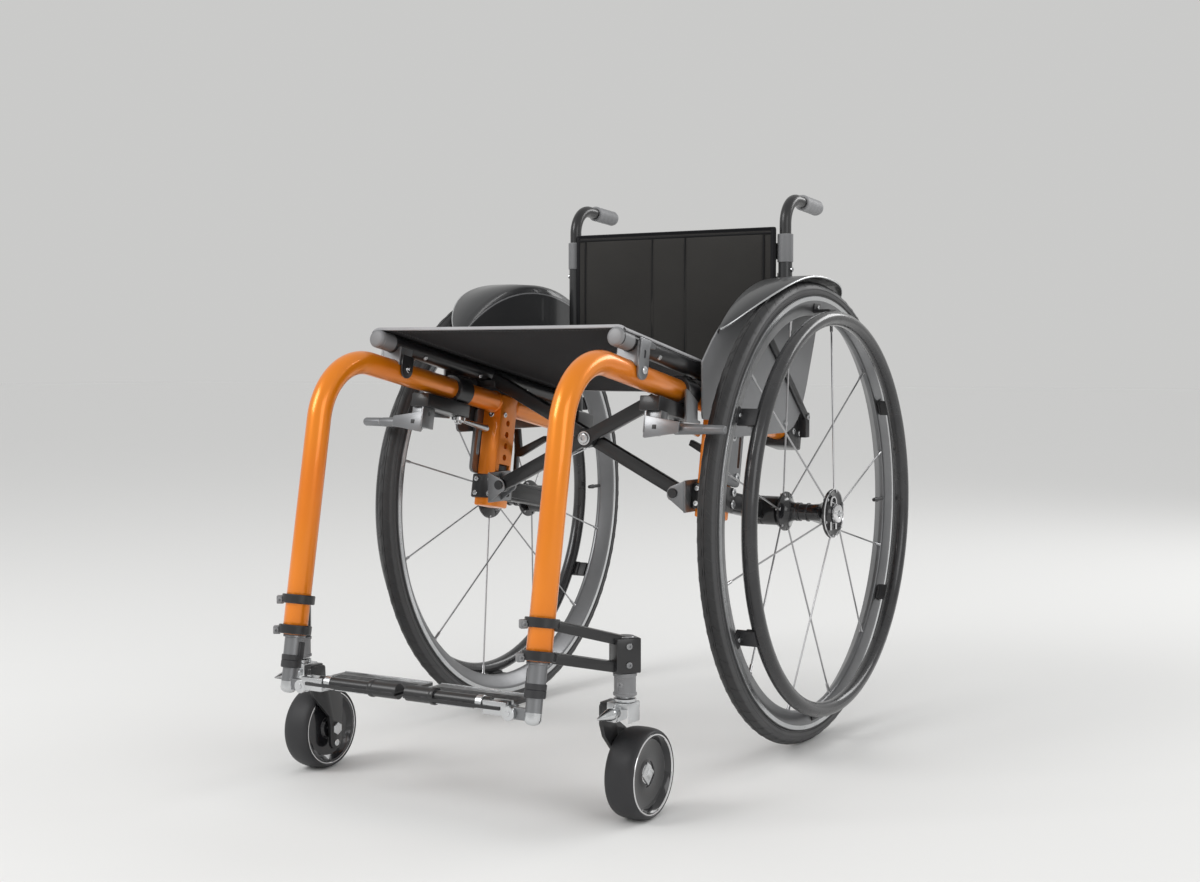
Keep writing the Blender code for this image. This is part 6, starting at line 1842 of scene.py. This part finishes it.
clamp_mid = rail_point(CLAMP_Y)
clamp = turned(ring_section(-0.015, 0.015, 0.0143, 0.0185, 0.0012, 0.0013), clamp_mid, ALONG)
base = hanger_box((-0.0140, base_end), (FRAME_X - 0.0140, FRAME_X + 0.0125), (BASE_TOP, BASE_LOW), 0.0012)
fit_pair([clamp, base], "brake_body", "side", BLACK_PAINT, "brake_body")
web = hanger_box((-0.0125, 0.0125), (web_out - 0.0032, web_out), (BASE_LOW - 0.0012, lug_low + 0.0006))
hole_mid = rail_point(SHOE_Y, 0.16) - ABOVE * 0.041
web = cut_away(web, pin(hole_mid - SIDE * 0.03, hole_mid + SIDE * 0.03, 0.0030, 24, 0))
lugs = [
    hanger_box((-0.0085, 0.0085), (web_out - 0.0010, lug_out), (BASE_LOW - 0.0010, shoe_top - 0.0003)),
    hanger_box((-0.0080, 0.0080), (web_out - 0.0012, lug_out - 0.0004), (shoe_low + 0.0003, lug_low)),
]
FLANK = [
    (-0.0275, 0.4615), (-0.0270, 0.4635), (-0.0245, 0.4635), (0.0015, 0.4480), (0.0015, 0.4260),
    (0.0085, 0.4240), (0.0085, 0.4210), (-0.0275, 0.4240),
]
flank = plate([at(FRAME_X + 0.0175, CLAMP_Y + y, z) for y, z in FLANK], SIDE * 0.003, 0.0006)
fit_pair([flank, web, *lugs], "brake_flank", "side", SATIN_GREY)
clamp_liner = turned(ring_section(-0.0160, 0.0160, 0.0140, 0.0162), clamp_mid, ALONG)
fit_pair(clamp_liner, "clamp_liner", "side", BLACK_PLASTIC)
pins = []
shoe_pin = (rail_point(SHOE_Y, SHOE_X), shoe_top - 0.002, lug_low + 0.0018)
lever_pin = (rail_point(LEVER_Y, LEVER_X), BASE_LOW - 0.002, BASE_LOW + LAYER + 0.0028)
for place, top, low in (shoe_pin, lever_pin):
    pins.append(pin(place - ABOVE * top, place - ABOVE * low, 0.0030, 24))
    pins.append(bolt(place - ABOVE * (low - 0.0012), -ABOVE, 0.0046, 0.0018))
for along in (-0.008, 0.008):
    pins.append(bolt(clamp_mid + ALONG * along - ABOVE * 0.0200 + SIDE * 0.0120, SIDE, 0.0030, 0.0022))
fit_pair(pins, "brake_pins", "side", BRIGHT_METAL)

# %% [markdown]
# The shoe and the lever are made on their own pivots, so each turns cleanly: a disc with an
# arm and a round bar for the shoe, and a disc with a tapering rod for the lever.

# %% Brake shoes
BAR_IN = 0.0230
BAR_LENGTH = 0.0655
DISC = ring_section(-0.0028, 0.0028, 0.0034, 0.0090, 0.0008, 0.0008)
shoe_axis = rail_point(SHOE_Y, SHOE_X, -SHOE_DROP)
SHOE_BAR = [
    (0, 0), (0, 0.0064), (0.0006, 0.0070), (0.0180, 0.0064), (0.0360, 0.0058), (0.0380, 0.0052),
    (0.0385, 0.0052), (0.0390, 0.0056), (BAR_LENGTH - 0.0030, 0.0054), (BAR_LENGTH - 0.0008, 0.0044),
    (BAR_LENGTH, 0.0022), (BAR_LENGTH, 0),
]
GUSSET = [
    (-0.0120, 0.0125), (-0.0100, 0.0130), (0.0340, 0.0064), (0.0340, -0.0064), (-0.0100, -0.0130),
    (-0.0120, -0.0125),
]
gusset_corners = [shoe_axis + SIDE * out - ALONG * 0.0125 + ABOVE * up for out, up in GUSSET]
shoe = [
    turned(DISC, shoe_axis, ABOVE, 40),
    rail_bar(shoe_axis + SIDE * 0.0165, (0.0190, 0.0090, 0.0050), 0.0010),
    turned(SHOE_BAR, shoe_axis + SIDE * BAR_IN, SIDE, 32),
    plate(gusset_corners, ALONG * 0.0026, 0.0006),
    rail_bar(shoe_axis + SIDE * 0.0235 - ALONG * 0.0060, (0.0120, 0.0120, 0.0050), 0.0008),
]
fit_pair(shoe, "brake_shoe", "shoe", SATIN_GREY, "brake_shoe")
square = rail_bar(shoe_axis + SIDE * 0.0020 - ALONG * 0.0126, (0.0050, 0.0012, 0.0050), 0.0002)
fit_pair(square, "shoe_socket", "shoe", BLACK_PLASTIC)

# %% Brake levers
lever_axis = rail_point(LEVER_Y, LEVER_X, -BASE_LOW - 0.0003 - LAYER / 2)
lever_path = []
lever_radii = []
for k in range(13):
    t = k / 12
    drop = 0.0004 + 0.0018 * t
    lever_path.append(lever_axis + ALONG * (0.004 + 0.056 * t) - ABOVE * drop - SIDE * 0.002 * t)
    lever_radii.append(0.0026 + 0.0022 * t**1.5)
lever = [
    turned(DISC, lever_axis, ABOVE, 40),
    bent_tube(lever_path, lever_radii, 24),
    ball(lever_path[-1], 0.0048, 24),
]
fit_pair(lever, "brake_lever", "lever", BRIGHT_METAL, "brake_lever")
print("brake lever length:", round((lever_path[-1] - lever_axis).length, 4))
